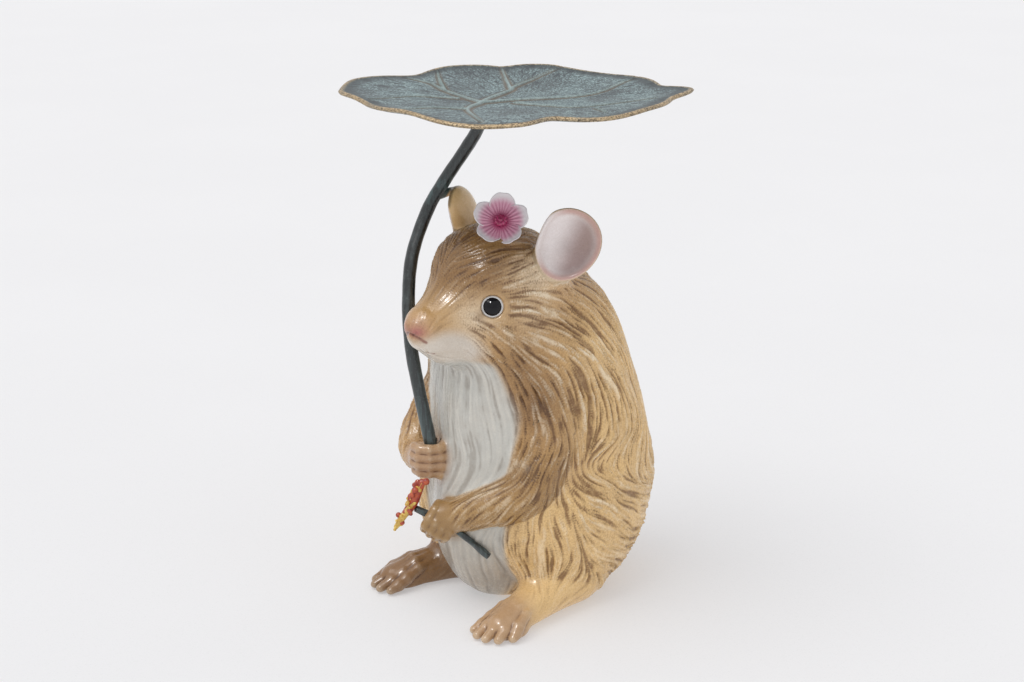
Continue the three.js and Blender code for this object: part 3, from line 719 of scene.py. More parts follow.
def strands(p, flow, reach, rng):
    """Random values averaged along the flow through each point: coarse, middle and fine, with spread 1."""
    low, high = p.min(0) - 12, p.max(0) + 12
    guide = flow_lattice(p, flow, low, high)
    noises = [Lattice(low, high, grain, lambda shape: rng.normal(size=tuple(shape)).astype(np.float32))
              for grain in STRAND_GRAINS]
    total = np.stack([noise.at(p, True) for noise in noises], 1)
    weight = np.ones(len(p))
    steps = int(reach.max() / 2 / STRAND_STRIDE) + 1
    for way in (1, -1):
        at, heading = p.astype(np.float32), (flow * way).astype(np.float32)
        for step in range(1, steps + 1):
            at = at + heading * STRAND_STRIDE
            found = guide.at(at) * way
            size = np.linalg.norm(found, axis=1)[:, None]
            heading = np.where(size > 0.15, found / np.maximum(size, 1e-6), heading)
            share = np.clip((reach / 2 - step * STRAND_STRIDE) / 6 + 1, 0, 1)
            for column, noise in enumerate(noises):
                total[:, column] += share * noise.at(at, True)
            weight += share
    total /= np.sqrt(weight)[:, None]
    return (total - total.mean(0)) / total.std(0)


def carve_fur(p, flow, kind, surface, rng):
    """The carved fur as a field about 0 with spread 1, its depth in mm, and its finest strands."""
    table = np.array([(c.coarse, c.middle, c.fine, c.length, c.depth) for c in COATS.values()])[kind]
    table = surface.averaged(table, 8)
    made = strands(p, flow, table[:, 3], rng)
    mixed = (made * table[:, :3]).sum(1) / np.sqrt((table[:, :3] ** 2).sum(1))
    return mixed, table[:, 4], made[:, 2]


# ---- Paint: colours over the casting, as linear RGB ----

GOLD = (0.88, 0.60, 0.27)
TAN = (0.60, 0.365, 0.15)
BROWN = (0.27, 0.135, 0.042)
WHITE = (0.61, 0.60, 0.55)
MUZZLE_WHITE = (0.74, 0.67, 0.58)
NOSE_PINK = (0.48, 0.17, 0.15)
NOSE_BLUSH = (0.58, 0.36, 0.27)
MOUTH_RED = (0.26, 0.09, 0.06)
PAW_PINK = (0.42, 0.255, 0.155)
FAR_FOOT_SHADE = (0.19, 0.09, 0.03)
RUST = (0.36, 0.15, 0.06)
CHEEK_PALE = (0.84, 0.67, 0.46)
BELLY_SHADE = (0.36, 0.30, 0.235)
EAR_PALE = (0.92, 0.84, 0.82)
EAR_MAUVE_SHADE = (0.37, 0.245, 0.225)
EAR_SALMON = (0.56, 0.27, 0.21)
EAR_ROOT_SHADE = (0.22, 0.135, 0.065)
FOREARM = (0.36, 0.20, 0.065)
LEFT_PAW_TAN = (0.31, 0.18, 0.07)
EAR_BACK = (0.90, 0.62, 0.30)
EAR_EDGE = (0.17, 0.11, 0.05)
LID_SHADOW = (0.20, 0.11, 0.05)
TEAL = (0.05, 0.09, 0.085)


def line_gap(p, stations):
    """Distance from each point to a line through the stations."""
    return np.min([gap_to(p, at) for at in spline(stations, 8)[:, :3]], axis=0)


def blend_paint(paint, colour, mask):
    return paint + (np.array(colour) - paint) * np.clip(mask, 0, 1)[:, None]


def spot(p, place, radii):
    """A soft round patch on both sides, 1 at its middle."""
    return np.exp(-(((mirrored(p) - np.array(place, float)) / np.array(radii, float)) ** 2).sum(1))


def muzzle_mask(p):
    """1 on the white of the muzzle, fading out round it."""
    reach = np.linalg.norm((mirrored(p) - (20, -120, 266)) / (32, 36, 21), axis=1)
    return smooth(1.34, 0.64, reach)


def inner_ear_masks(p, normals, owner, name):
    """1 inside the ear's cup, then how far out a place is, and how far across towards the face."""
    _, axes = ear_frame(name)
    local = ear_local(p, name)
    reach = np.hypot(local[:, 0] / EAR_HALF[0], local[:, 2] / EAR_HALF[1])
    trim = (local[:, [0, 2]] @ EAR_TRIM) / EAR_TRIM_REACH
    reach = np.maximum(reach, trim)
    faces = normals @ axes[1]
    cup = (owner == name) * smooth(1.0, 0.93, reach) * smooth(-0.05, 0.3, faces + 0.4 * (1 - reach))
    return cup, reach, local[:, 0] / EAR_HALF[0]


# Soft patches in the fur's base coat: colour, strength, place, half-lengths
FUR_PATCHES = [
    (BROWN, 0.65, (66, -72, 250), (22, 26, 24)),
    (BROWN, 0.85, (76, -60, 212), (24, 28, 32)),
    (CHEEK_PALE, 1.0, (38, -104, 299), (17, 20, 19)),
    (CHEEK_PALE, 0.95, (62, -44, 334), (22, 24, 18)),
    (CHEEK_PALE, 0.40, (68, -58, 300), (18, 26, 22)),
]
LID_CORNER = EYE_CENTRE + EYE_AXIS * 8 + (-5.5, -9.5, -8)


def painted(p, owner, normals, muzzle, belly):
    """The base coat at each vertex, with some painted light and shade in it, before the wash, painted shade
    and highlights.
    """
    x, y, z = np.abs(p[:, 0]), p[:, 1], p[:, 2]
    left_side = mirrored(p)
    paint = np.tile(np.array(TAN), (len(p), 1))
    paint = blend_paint(paint, GOLD, smooth(-60, 20, y) * smooth(330, 250, z) + smooth(150, 110, z))
    paint = blend_paint(paint, BROWN, 0.75 * smooth(300, 335, z) * smooth(20, -50, y) * smooth(62, 40, x))
    for colour, amount, place, radii in FUR_PATCHES:
        paint = blend_paint(paint, colour, amount * spot(p, place, radii))
    paint = blend_paint(paint, FOREARM, 0.8 * (owner == "left_arm") * smooth(190, 150, z))
    paint = blend_paint(paint, MUZZLE_WHITE, muzzle)
    paint = blend_paint(paint, NOSE_BLUSH, 0.6 * spot(p, (6, -143, 294), (12, 11, 9)))
    paint = blend_paint(paint, NOSE_PINK, 1.2 * spot(p, (6, -145, 288.5), (9.5, 8, 6)))
    paint = blend_paint(paint, MOUTH_RED, 0.85 * smooth(2.6, 0.9, line_gap(left_side, NOSTRIL)))
    paint = blend_paint(paint, MOUTH_RED, 0.7 * smooth(2.0, 0.8, line_gap(left_side, LIP_LINE[2:])))
    paint = blend_paint(paint, LID_SHADOW, 0.9 * spot(p, LID_CORNER, (5, 5, 5)))
    paint = blend_paint(paint, WHITE, belly)
    paint = blend_paint(paint, BELLY_SHADE, 0.6 * belly * smooth(95, 25, z))
    for name in ("left_ear", "right_ear"):
        cup, reach, aside = inner_ear_masks(p, normals, owner, name)
        mine = (owner == name).astype(float)
        shaded = cup * smooth(0.45, -0.45, aside) * smooth(1.02, 0.65, reach)
        flushed = cup * smooth(0.76, 0.92, reach) * smooth(0.85, 0.3, aside)
        below = mine * (1 - cup) * smooth(352, 338, z)
        paint = blend_paint(paint, EAR_BACK, mine * 0.95)
        paint = blend_paint(paint, EAR_PALE, cup)
        # The inner ear's mauve, darkest on the cup's side away from the face: painted shade in the cup.
        paint = blend_paint(paint, EAR_MAUVE_SHADE, 0.9 * shaded)
        paint = blend_paint(paint, EAR_SALMON, 0.75 * flushed)
        paint = blend_paint(paint, EAR_EDGE, mine * 0.8 * smooth(0.965, 0.99, reach))
        # Below the ears: painted light on the left side and painted shade on the right side.
        paint = blend_paint(paint, CHEEK_PALE, 0.7 * below * (p[:, 0] > 0))
        paint = blend_paint(paint, EAR_ROOT_SHADE, 0.5 * below * (p[:, 0] < 0))
    for paw, wide, colour in ((LEFT_PAW, 23, LEFT_PAW_TAN), (RIGHT_PAW, 25, PAW_PINK)):
        paint = blend_paint(paint, colour, 0.8 * smooth(wide + 8, wide - 6, gap_to(p, paw)))
    # The far hind foot painted dark all over: painted shade.
    paint = blend_paint(paint, FAR_FOOT_SHADE, 0.95 * (owner == "right_hind_foot"))
    paint = blend_paint(paint, PAW_PINK, 0.8 * (owner == "left_hind_foot") * smooth(-70, -105, y))
    paint = blend_paint(paint, PAW_PINK, 0.25 * (owner == "right_hind_foot") * smooth(-90, -115, y))
    paint = blend_paint(paint, RUST, 0.55 * spot(p, (68, -62, 36), (14, 12, 8)))
    paint = blend_paint(paint, PAW_PINK, 0.9 * (owner == "tail"))
    return blend_paint(paint, TEAL, smooth(11.5, 8.5, line_gap(p, STEM_LINE[5:9])))


FOREARM_EDGE = [(74, -78, 158), (64, -88, 149), (52, -98, 138), (40, -107, 129)]
# Cream dry-brushed on the fur's ridges, which also stands for painted highlights.
CREAM_HIGHLIGHT_EVERYWHERE = 0.32
# Where more or less cream and painted highlight go on the ridges: amount, place, half-lengths
CREAM_HIGHLIGHT_PATCHES = [
    (0.75, (62, -46, 333), (24, 26, 18)), (0.65, (66, -60, 300), (20, 26, 16)),
    (0.42, (82, -18, 262), (26, 34, 28)), (0.45, (92, -10, 215), (26, 36, 34)),
    (0.55, (98, 0, 156), (20, 50, 9)), (0.35, (104, -10, 112), (20, 40, 20)),
    (-0.30, (20, -80, 345), (50, 60, 26)),
]


def forearm_highlight_band(p, owner):
    """The pale upper edge of the left forearm: cream together with a painted highlight."""
    band = sum(spot(p, place, (10, 10, 5.5)) for place in FOREARM_EDGE)
    return 0.4 * (owner == "left_arm") * np.clip(band, 0, 1)


def highlight_strength(p, owner):
    """How much cream and painted highlight go on the ridges."""
    cream_highlight = np.full(len(p), CREAM_HIGHLIGHT_EVERYWHERE)
    for amount, place, radii in CREAM_HIGHLIGHT_PATCHES:
        cream_highlight += amount * spot(p, place, radii)
    return np.clip(cream_highlight + forearm_highlight_band(p, owner), 0, 1)


# ---- Node materials ----


class Nodes:
    """A short way to write a node material."""

    def __init__(self, name):
        self.material = bpy.data.materials.new(name)
        self.material.use_nodes = True
        self.tree = self.material.node_tree
        self.tree.nodes.clear()
        self.out = self.tree.nodes.new("ShaderNodeOutputMaterial")
        self.shader = self.tree.nodes.new("ShaderNodeBsdfPrincipled")
        self.tree.links.new(self.shader.outputs[0], self.out.inputs[0])

    def feed(self, socket, value):
        if isinstance(value, bpy.types.NodeSocket):
            self.tree.links.new(value, socket)
        elif isinstance(value, tuple) and len(value) == 3 and len(socket.default_value) == 4:
            socket.default_value = (*value, 1)
        else:
            socket.default_value = value

    def add(self, kind, inputs=(), **settings):
        node = self.tree.nodes.new(kind)
        for key, value in settings.items():
            setattr(node, key, value)
        for key, value in dict(inputs).items():
            self.feed(node.inputs[key], value)
        return node

    def attribute(self, name, output="Fac"):
        return self.add("ShaderNodeAttribute", attribute_name=name).outputs[output]

    def math(self, operation, a, b=0.0, clamp=False):
        return self.add("ShaderNodeMath", {0: a, 1: b}, operation=operation, use_clamp=clamp).outputs[0]

    def ramp(self, value, low, high, to_low=0.0, to_high=1.0):
        inputs = {"Value": value, "From Min": low, "From Max": high, "To Min": to_low, "To Max": to_high}
        return self.add("ShaderNodeMapRange", inputs, interpolation_type="SMOOTHSTEP").outputs[0]

    def mix(self, factor, a, b, blend="MIX"):
        node = self.add("ShaderNodeMix", data_type="RGBA", blend_type=blend)
        for key, value in ((0, factor), (6, a), (7, b)):
            self.feed(node.inputs[key], value)
        return node.outputs[2]

    def place(self):
        return self.add("ShaderNodeTexCoord").outputs["Object"]

    def stretched(self, source, scale):
        return self.add("ShaderNodeMapping", {"Vector": source, "Scale": scale}).outputs[0]

    def noise(self, source, scale, detail=3.0, rough=0.55):
        inputs = {"Vector": source, "Scale": scale, "Detail": detail, "Roughness": rough}
        return self.add("ShaderNodeTexNoise", inputs).outputs["Fac"]

    def bump(self, height, strength, distance, over=None):
        inputs = {"Height": height, "Strength": strength, "Distance": distance}
        if over is not None:
            inputs["Normal"] = over
        return self.add("ShaderNodeBump", inputs).outputs[0]

    def finish(self, colour, roughness, normal=None, **fixed):
        self.feed(self.shader.inputs["Base Color"], colour)
        self.feed(self.shader.inputs["Roughness"], roughness)
        if normal is not None:
            self.feed(self.shader.inputs["Normal"], normal)
        for key, value in fixed.items():
            self.shader.inputs[key.replace("_", " ")].default_value = value
        return self.material


def painted_casting(name, coat):
    """Enamel over carved fur: a base coat, a brown wash and painted shade in the hollows, and cream and
    painted highlights on the ridges.
    """
    n = Nodes(name)
    place = n.place()
    wash, ridge, cream_highlight = (n.attribute(a) for a in ("wash", "ridge", "cream_highlight"))
    patches = n.noise(place, 22.0, 3.0)
    speckle = n.noise(place, 640.0, 2.0, 0.7)
    blotch = n.noise(place, 150.0, 3.0, 0.6)
    base = n.attribute("paint", "Color")
    base = n.mix(n.ramp(patches, 0.38, 0.72, 0.0, 0.16), base, (0.34, 0.21, 0.10), "MIX")
    grain = n.math("MULTIPLY", n.attribute("furred"), n.ramp(speckle, 0.62, 0.36, 0.0, 0.42))
    base = n.mix(grain, base, (0.50, 0.38, 0.28), "MULTIPLY")
    # The hollows darkened: a brown wash together with painted shade.
    wash_and_shade_amount = n.math("MULTIPLY", wash, n.ramp(blotch, 0.25, 0.62, 0.6, 1.15), clamp=True)
    base = n.mix(n.math("MULTIPLY", wash_and_shade_amount, 0.8), base, n.mix(1.0, base, (0.30, 0.20, 0.125), "MULTIPLY"))
    # Cream on the ridges: dry-brushed paint together with painted highlights.
    patchy = n.ramp(n.math("ADD", n.math("MULTIPLY", speckle, 0.6), blotch), 0.52, 0.88, 0.10, 1.0)
    brushed = n.math("MULTIPLY", n.math("MULTIPLY", ridge, cream_highlight), patchy)
    base = n.mix(n.math("MULTIPLY", brushed, 1.0, clamp=True), base, (0.92, 0.81, 0.62))
    dullness = n.math("ADD", n.math("MULTIPLY", blotch, 0.7), n.math("MULTIPLY", wash_and_shade_amount, 0.4))
    rough = n.ramp(dullness, 0.2, 0.9, 0.24, 0.48)
    normal = n.bump(n.math("MULTIPLY", speckle, n.attribute("furred")), 0.35, 0.0006)
    return n.finish(base, rough, normal, Coat_Weight=coat, Coat_Roughness=0.18, Specular_IOR_Level=0.4)


def leaf_patina():
    """Blue-green patina, rubbed back to bronze along the rim and beside the veins."""
    n = Nodes("leaf_patina")
    place = n.place()
    vein, side, rim = (n.attribute(a) for a in ("vein", "veinside", "rim"))
    cloud = n.noise(place, 26.0, 4.0, 0.6)
    stipple = n.noise(place, 560.0, 2.0, 0.75)
    streaks = n.noise(n.stretched(n.attribute("polar", "Vector"), (0.55, 0.05, 1.0)), 1.0, 3.0, 0.65)
    base = n.mix(n.ramp(cloud, 0.34, 0.66), (0.026, 0.040, 0.047), (0.085, 0.13, 0.14))
    flecks = n.math("MULTIPLY", n.ramp(stipple, 0.49, 0.57), n.ramp(cloud, 0.3, 0.62, 0.5, 1.0))
    base = n.mix(flecks, base, (0.38, 0.50, 0.50))
    base = n.mix(n.ramp(streaks, 0.48, 0.64, 0.0, 0.9), base, (0.022, 0.033, 0.040))
    base = n.mix(n.math("MULTIPLY", side, n.ramp(stipple, 0.3, 0.6, 0.35, 0.9)), base, (0.15, 0.095, 0.05))
    base = n.mix(n.math("MULTIPLY", vein, n.ramp(stipple, 0.25, 0.6, 0.45, 1.0)), base, (0.33, 0.43, 0.42))
    base = n.mix(n.math("MULTIPLY", n.attribute("shade"), 0.75), base, (0.022, 0.032, 0.036))
    rubbed = n.ramp(n.math("ADD", cloud, n.math("MULTIPLY", stipple, 0.5)), 0.5, 0.85, 0.6, 1.0)
    worn = n.math("MULTIPLY", rim, rubbed)
    base = n.mix(worn, base, n.mix(n.ramp(stipple, 0.36, 0.60), (0.15, 0.10, 0.05), (0.60, 0.46, 0.28)))
    rough = n.ramp(n.math("ADD", stipple, n.math("MULTIPLY", cloud, 0.4)), 0.3, 1.0, 0.42, 0.68)
    normal = n.bump(n.math("ADD", stipple, n.math("MULTIPLY", streaks, 0.3)), 0.35, 0.0005)
    n.feed(n.shader.inputs["Metallic"], n.math("MULTIPLY", worn, 0.55))
    return n.finish(base, rough, normal, Coat_Weight=0.15, Coat_Roughness=0.35)


def stem_patina():
    n = Nodes("stem_patina")
    place = n.place()
    brushed = n.noise(n.stretched(place, (260.0, 260.0, 16.0)), 1.0, 3.0, 0.6)
    stipple = n.noise(place, 520.0, 2.0, 0.7)
    green = n.math("MULTIPLY", n.attribute("green"), n.ramp(brushed, 0.42, 0.62, 0.2, 1.0))
    base = n.mix(n.ramp(brushed, 0.4, 0.75), (0.010, 0.013, 0.013), (0.034, 0.042, 0.042))
    base = n.mix(green, base, (0.065, 0.115, 0.115))
    base = n.mix(n.ramp(stipple, 0.55, 0.8, 0.0, 0.4), base, (0.16, 0.20, 0.19))
    rough = n.ramp(n.math("ADD", brushed, n.math("MULTIPLY", stipple, 0.5)), 0.4, 1.1, 0.30, 0.55)
    normal = n.bump(n.math("ADD", brushed, n.math("MULTIPLY", stipple, 0.4)), 0.35, 0.0006)
    return n.finish(base, rough, normal, Metallic=0.2, Coat_Weight=0.8, Coat_Roughness=0.16)


def petal_paint():
    n = Nodes("petal_paint")
    out, streak = n.attribute("outward"), n.attribute("streak")
    speckle = n.noise(n.place(), 700.0, 2.0, 0.6)
    soft = n.math("ADD", out, n.math("MULTIPLY", n.math("SUBTRACT", speckle, 0.5), 0.12))
    base = n.mix(n.ramp(soft, 0.20, 0.54), (0.48, 0.06, 0.17), (0.74, 0.36, 0.48))
    base = n.mix(n.ramp(soft, 0.60, 0.92), base, (0.84, 0.79, 0.80))
    lines = n.math("MULTIPLY", streak, n.ramp(out, 0.98, 0.45, 0.0, 0.6))
    base = n.mix(lines, base, (0.42, 0.045, 0.15))
    rough = n.ramp(speckle, 0.3, 0.7, 0.30, 0.46)
    normal = n.bump(speckle, 0.25, 0.0004)
    return n.finish(base, rough, normal, Coat_Weight=0.4, Coat_Roughness=0.15)


def simple_paint(name, low, high, scale, rough, bump=0.3, **fixed):
    """Hand-brushed enamel: two close colours in soft blotches, with fine grain."""
    n = Nodes(name)
    blotch = n.noise(n.place(), scale, 3.0, 0.6)
    grain = n.noise(n.place(), 650.0, 2.0, 0.65)
    base = n.mix(n.ramp(blotch, 0.35, 0.68), low, high)
    base = n.mix(n.ramp(grain, 0.5, 0.85, 0.0, 0.25), base, tuple(0.5 * c for c in low))
    shine = n.ramp(n.math("ADD", blotch, grain), 0.6, 1.4, *rough)
    return n.finish(base, shine, n.bump(grain, bump, 0.0004), **fixed)


# ---- Meshes into Blender ----


def mesh_object(name, vertices, faces, material, normals=None, attributes=None):
    """A mesh object from vertices in millimetres, shaded smooth, with its attributes."""
    mesh = bpy.data.meshes.new(name)
    mesh.from_pydata((np.asarray(vertices) * MM).tolist(), [], [list(map(int, f)) for f in faces])
    mesh.polygons.foreach_set("use_smooth", np.ones(len(mesh.polygons), bool))
    for key, values in (attributes or {}).items():
        values = np.asarray(values, float)
        if key == "paint":
            made = mesh.attributes.new(key, "FLOAT_COLOR", "POINT")
            opaque = np.concatenate([values, np.ones((len(values), 1))], 1)
            made.data.foreach_set("color", opaque.astype(np.float32).ravel())
        elif values.ndim == 2:
            made = mesh.attributes.new(key, "FLOAT_VECTOR", "POINT")
            made.data.foreach_set("vector", values.astype(np.float32).ravel())
        else:
            made = mesh.attributes.new(key, "FLOAT", "POINT")
            made.data.foreach_set("value", values.astype(np.float32).ravel())
    mesh.materials.append(material)
    mesh.update()
    if normals is not None:
        mesh.normals_split_custom_set_from_vertices(np.asarray(normals, np.float32).tolist())
    piece = bpy.data.objects.new(name, mesh)
    bpy.context.scene.collection.objects.link(piece)
    return piece


def declare(piece, slot, *nodes):
    """The piece's body and the CAD nodes that it stands for; the slot argument is not used."""
    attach(piece, BODY)
    if nodes:
        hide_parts(*nodes)


def boundary_loops(faces):
    """The open edges of some quads, walked round into loops."""
    directed = np.vstack([faces[:, [k, (k + 1) % 4]] for k in range(4)])
    known = set(map(tuple, directed.tolist()))
    after = {}
    for a, b in known:
        if (b, a) not in known:
            after.setdefault(a, []).append(b)
    loops = []
    while after:
        start = next(iter(after))
        loop = [start]
        at = start
        while at in after:
            step = after[at].pop()
            if not after[at]:
                del after[at]
            if step == start:
                break
            loop.append(step)
            at = step
        loops.append(loop)
    return loops


CAP_DEPTH = 0.25  # how far a cap's middle lies inside its loop, as a share of the loop's radius
FLAT_LOOP = 0.3  # the normals round a loop that lies across a limb average to less than this


def cut_out(surface, chosen, values, normals):
    """The chosen quads as one closed piece: its vertices, faces, normals and attributes."""
    quads = surface.quads[chosen]
    used, inverse = np.unique(quads, return_inverse=True)
    quads = inverse.reshape(-1, 4)
    at = surface.at[used]
    out = normals[used]
    kept = {key: value[used] for key, value in values.items()}
    faces = quads.tolist()
    middle = at.mean(0)
    for loop in boundary_loops(quads):
        hub = at[loop].mean(0)
        inward = -out[loop].mean(0)
        if np.linalg.norm(inward) > FLAT_LOOP:
            hub = hub + CAP_DEPTH * inward * gap_to(at[loop], hub).mean()
        index = len(at)
        at = np.vstack([at, hub])
        out = np.vstack([out, unit(middle - hub + 1e-6)])
        for key in kept:
            kept[key] = np.concatenate([kept[key], kept[key][loop[0]][None]])
        faces += [[b, a, index] for a, b in zip(loop, loop[1:] + loop[:1])]
    return at, faces, out, kept


# ---- The painted casting ----

GRID_STEP = 1.2


def casting_pieces():
    """The whole painted casting as one net, cut into a piece for each CAD node."""
    rng = np.random.default_rng(SEED)
    surface = net_of(casting, (-116, -156, -4), (124, 146, 412), GRID_STEP)
    p = surface.at.copy()
    p32 = p.astype(np.float32)
    fields = {name: PART_FIELDS[name](p32) for name in PARTS}
    whole = melt(torso(p32), head(p32), NECK_BLEND)
    stacked = np.stack([whole] + [fields[name] for name in PARTS], 1)
    owners = np.array(["body"] + PARTS)
    owner = owners[stacked.argmin(1)]
    normals = surface.normals()
    for _ in range(2):
        normals = unit_rows(surface.averaged(normals))
    muzzle = muzzle_mask(p) * (owner == "body")
    inner = sum(inner_ear_masks(p, normals, owner, name)[0] for name in ("left_ear", "right_ear"))
    strength = fur_strength(p, owner, muzzle, inner)
    strength = surface.averaged(strength, 3)
    flow = flow_at(p, normals, rng)
    belly = surface.averaged(belly_mask(p, owner), 2)
    kind = coat_region(p, owner, belly)
    hair, depth, fine_hair = carve_fur(p, flow, kind, surface, rng)
    depth = depth * (1 + 0.35 * wander(p, 24, rng)) * strength
    crest = smooth(0.25, 1.7, hair)
    hollow = smooth(-0.35, -1.6, hair)
    relief = depth * (crest**1.4 - 0.8 * hollow) + 0.09 * strength * fine_hair
    surface.at = p + normals * (relief + 0.4 * wander(p, 32, rng) * strength)[:, None]
    surface.at[:, 2] = np.maximum(surface.at[:, 2], 0)
    shaded = surface.normals()
    fine = ((surface.averaged(surface.at) - surface.at) * shaded).sum(1)
    broad = ((surface.averaged(surface.at, 6) - surface.at) * shaded).sum(1)
    # Darker in the hollows, from the surface's dents and the fur's grooves: a brown wash together with
    # painted shade.
    wash = (0.5 * smooth(0.05, 0.25, fine) + 0.75 * smooth(0.12, 0.9, broad)) * (1 - strength)
    wash += np.clip(strength * 1.2, 0, 1) * (smooth(-0.45, -1.6, hair) + 0.14 * smooth(0.2, -1.4, fine_hair))
    # Where the ridges take cream and painted highlights.
    ridge = smooth(0.45, 1.5, hair) * np.clip(strength * 1.3, 0, 1) + forearm_highlight_band(p, owner)
    paws = np.clip(sum(smooth(34, 22, gap_to(p, paw)) for paw in (LEFT_PAW, RIGHT_PAW)), 0, 1)
    digits = np.maximum(paws, on_foot(owner) * smooth(-70, -95, p[:, 1]))
    # Painted highlights on the rounded tops of the fingers and toes.
    ridge += 0.6 * digits * smooth(-0.15, -0.8, broad)
    # Painted shade between the fingers and toes, with the wash.
    wash += digits * 0.7 * smooth(0.05, 0.5, broad)
    wash *= 1 - 0.65 * belly - 0.5 * muzzle
    values = {
        "paint": painted(p, owner, normals, muzzle, belly),
        "wash": np.clip(wash, 0, 1),
        "ridge": np.clip(ridge, 0, 1),
        "cream_highlight": np.clip(highlight_strength(p, owner) - 0.25 * belly + 0.15 * digits, 0, 1),
        "furred": np.clip(strength + 0.25, 0, 1) * (1 - 0.8 * belly),
    }
    # The base coat a little lighter on the fur's crests and darker in its grooves: painted light and shade.
    values["paint"] = values["paint"] * (1 + 0.05 * np.clip(hair, -2, 2) * strength)[:, None]
    face_owner = owners[stacked[surface.quads].mean(1).argmin(1)]
    above_neck = ((surface.at[surface.quads].mean(1) - NECK_POINT) @ NECK_NORMAL) > 0
    shell = np.where(above_neck, "head_shell", "torso_shell")
    face_owner = np.where(face_owner == "body", shell, face_owner)
    fur = painted_casting("fur_paint", 0.32)
    paw = painted_casting("paw_paint", 0.25)
    skin = painted_casting("ear_paint", 0.35)
    finishes = {name: (skin, "ear_paint") for name in ("left_ear", "right_ear")}
    finishes.update({name: (paw, "paw_paint") for name in ("tail", "left_hind_foot", "right_hind_foot")})
    for name in ["torso_shell", "head_shell"] + PARTS:
        material, slot = finishes.get(name, (fur, "fur_paint"))
        at, faces, out, kept = cut_out(surface, face_owner == name, values, shaded)
        piece = mesh_object(name.replace("_shell", "") + "_casting", at, faces, material, out, kept)
        declare(piece, slot, name)


casting_pieces()


# ---- Lathes, tubes and eyes ----


def ring_faces(low, high, sides):
    """Faces between two rings of vertices, either of which may be a single point."""
    made = []
    for side in range(sides):
        after = (side + 1) % sides
        if len(low) == 1:
            made.append([low[0], high[after], high[side]])
        elif len(high) == 1:
            made.append([low[side], low[after], high[0]])
        else:
            made.append([low[side], low[after], high[after], high[side]])
    return made


def lathe(profile, sides, place, axis, ripple=None):
    """A closed turned shape: profile points are radius and height, from the axis back to the axis."""
    turn = Vector((0, 0, 1)).rotation_difference(Vector(unit(axis))).to_matrix()
    vertices, faces = [], []
    rings = []
    for radius, height in profile:
        if radius < 1e-6:
            rings.append([len(vertices)])
            vertices.append((0, 0, height))
            continue
        ring = []
        for side in range(sides):
            angle = 2 * math.pi * side / sides
            grown = radius * (1 + (ripple(angle, height) if ripple else 0))
            ring.append(len(vertices))
            vertices.append((grown * math.cos(angle), grown * math.sin(angle), height))
        rings.append(ring)
    for low, high in zip(rings, rings[1:]):
        faces += ring_faces(low, high, sides)
    made = np.array([turn @ Vector(v) for v in vertices]) + np.array(place)
    return made, faces


def tube_mesh(stations, sides, per_span, swell=None, end_round=0.5):
    """A tube through stations of x, y, z and radius, with softly rounded ends."""
    line = spline(stations, per_span)
    ahead = np.gradient(line[:, :3], axis=0)
    ahead /= np.linalg.norm(ahead, axis=1)[:, None]
    side = unit(np.cross(ahead[0], (0.3, 0.9, 0.2)))
    vertices, faces = [], []
    last = len(line) - 1
    for k, (row, way) in enumerate(zip(line, ahead)):
        side = unit(side - way * (side @ way))
        other = np.cross(way, side)
        for s in range(sides):
            angle = 2 * math.pi * s / sides
            radius = row[3] * (1 + (swell(k / last, angle) if swell else 0))
            if k in (0, last):
                radius *= 1 - 0.25 * end_round
            vertices.append(row[:3] + radius * (math.cos(angle) * side + math.sin(angle) * other))
    for k in range(last):
        for s in range(sides):
            t = (s + 1) % sides
            faces.append([k * sides + s, k * sides + t, (k + 1) * sides + t, (k + 1) * sides + s])
    for k, way, turned in ((0, -ahead[0], True), (last, ahead[-1], False)):
        hub = len(vertices)
        vertices.append(line[k, :3] + way * line[k, 3] * 0.25 * end_round)
        for s in range(sides):
            t = (s + 1) % sides
            a, b = k * sides + s, k * sides + t
            faces.append([b, a, hub] if turned else [a, b, hub])
    return np.array(vertices), faces


RING_INNER = 8.5
RING_OUTER = 10.5


def eyes():
    """Glossy black balls, each in a thin white ring that stands a little proud of the lids."""
    black = simple_paint("eye_gloss", (0.003, 0.003, 0.004), (0.010, 0.009, 0.011), 90.0, (0.06, 0.10), 0.02,
                         Coat_Weight=0.3, Coat_Roughness=0.04, Specular_IOR_Level=0.15)
    white = simple_paint("eye_white", (0.66, 0.65, 0.63), (0.80, 0.79, 0.78), 200.0, (0.18, 0.3), 0.1,
                         Coat_Weight=0.5, Coat_Roughness=0.1)
    inner, outer = (math.sqrt(EYE_RADIUS**2 - r**2) for r in (RING_INNER, RING_OUTER))
    ring = [
        (RING_OUTER, outer - 1.2), (RING_OUTER + 0.25, outer + 0.8), (RING_OUTER - 0.1, outer + 2.0),
        (RING_OUTER - 0.6, outer + 2.6), (RING_INNER + 0.5, inner + 0.45), (RING_INNER, inner + 0.05),
    ]
    back = [(EYE_RADIUS * math.sin(a), -EYE_RADIUS * math.cos(a)) for a in np.linspace(0, 2.1, 18)[1:]]
    back = [(r, h) for r, h in back if h < outer - 1.5]
    angles = np.linspace(math.asin(RING_INNER / EYE_RADIUS), 0, 16)[1:-1]
    front = [(EYE_RADIUS * math.sin(a), EYE_RADIUS * math.cos(a)) for a in angles]
    profile = [(0, -EYE_RADIUS)] + back + ring + front + [(0, EYE_RADIUS)]
    sides = 64
    ring_rows = range(len(back) + 1, len(back) + len(ring))
    for name, sign in (("left_eye", 1), ("right_eye", -1)):
        mirror = np.array([sign, 1, 1])
        vertices, faces = lathe(profile, sides, EYE_CENTRE * mirror, EYE_AXIS * mirror)
        piece = mesh_object(name + "_ball", vertices, faces, black)
        piece.data.materials.append(white)
        for index, polygon in enumerate(piece.data.polygons):
            polygon.material_index = int(index // sides in ring_rows)
        declare(piece, "eye_gloss", name)


eyes()


# ---- Leaf, boss and stem ----

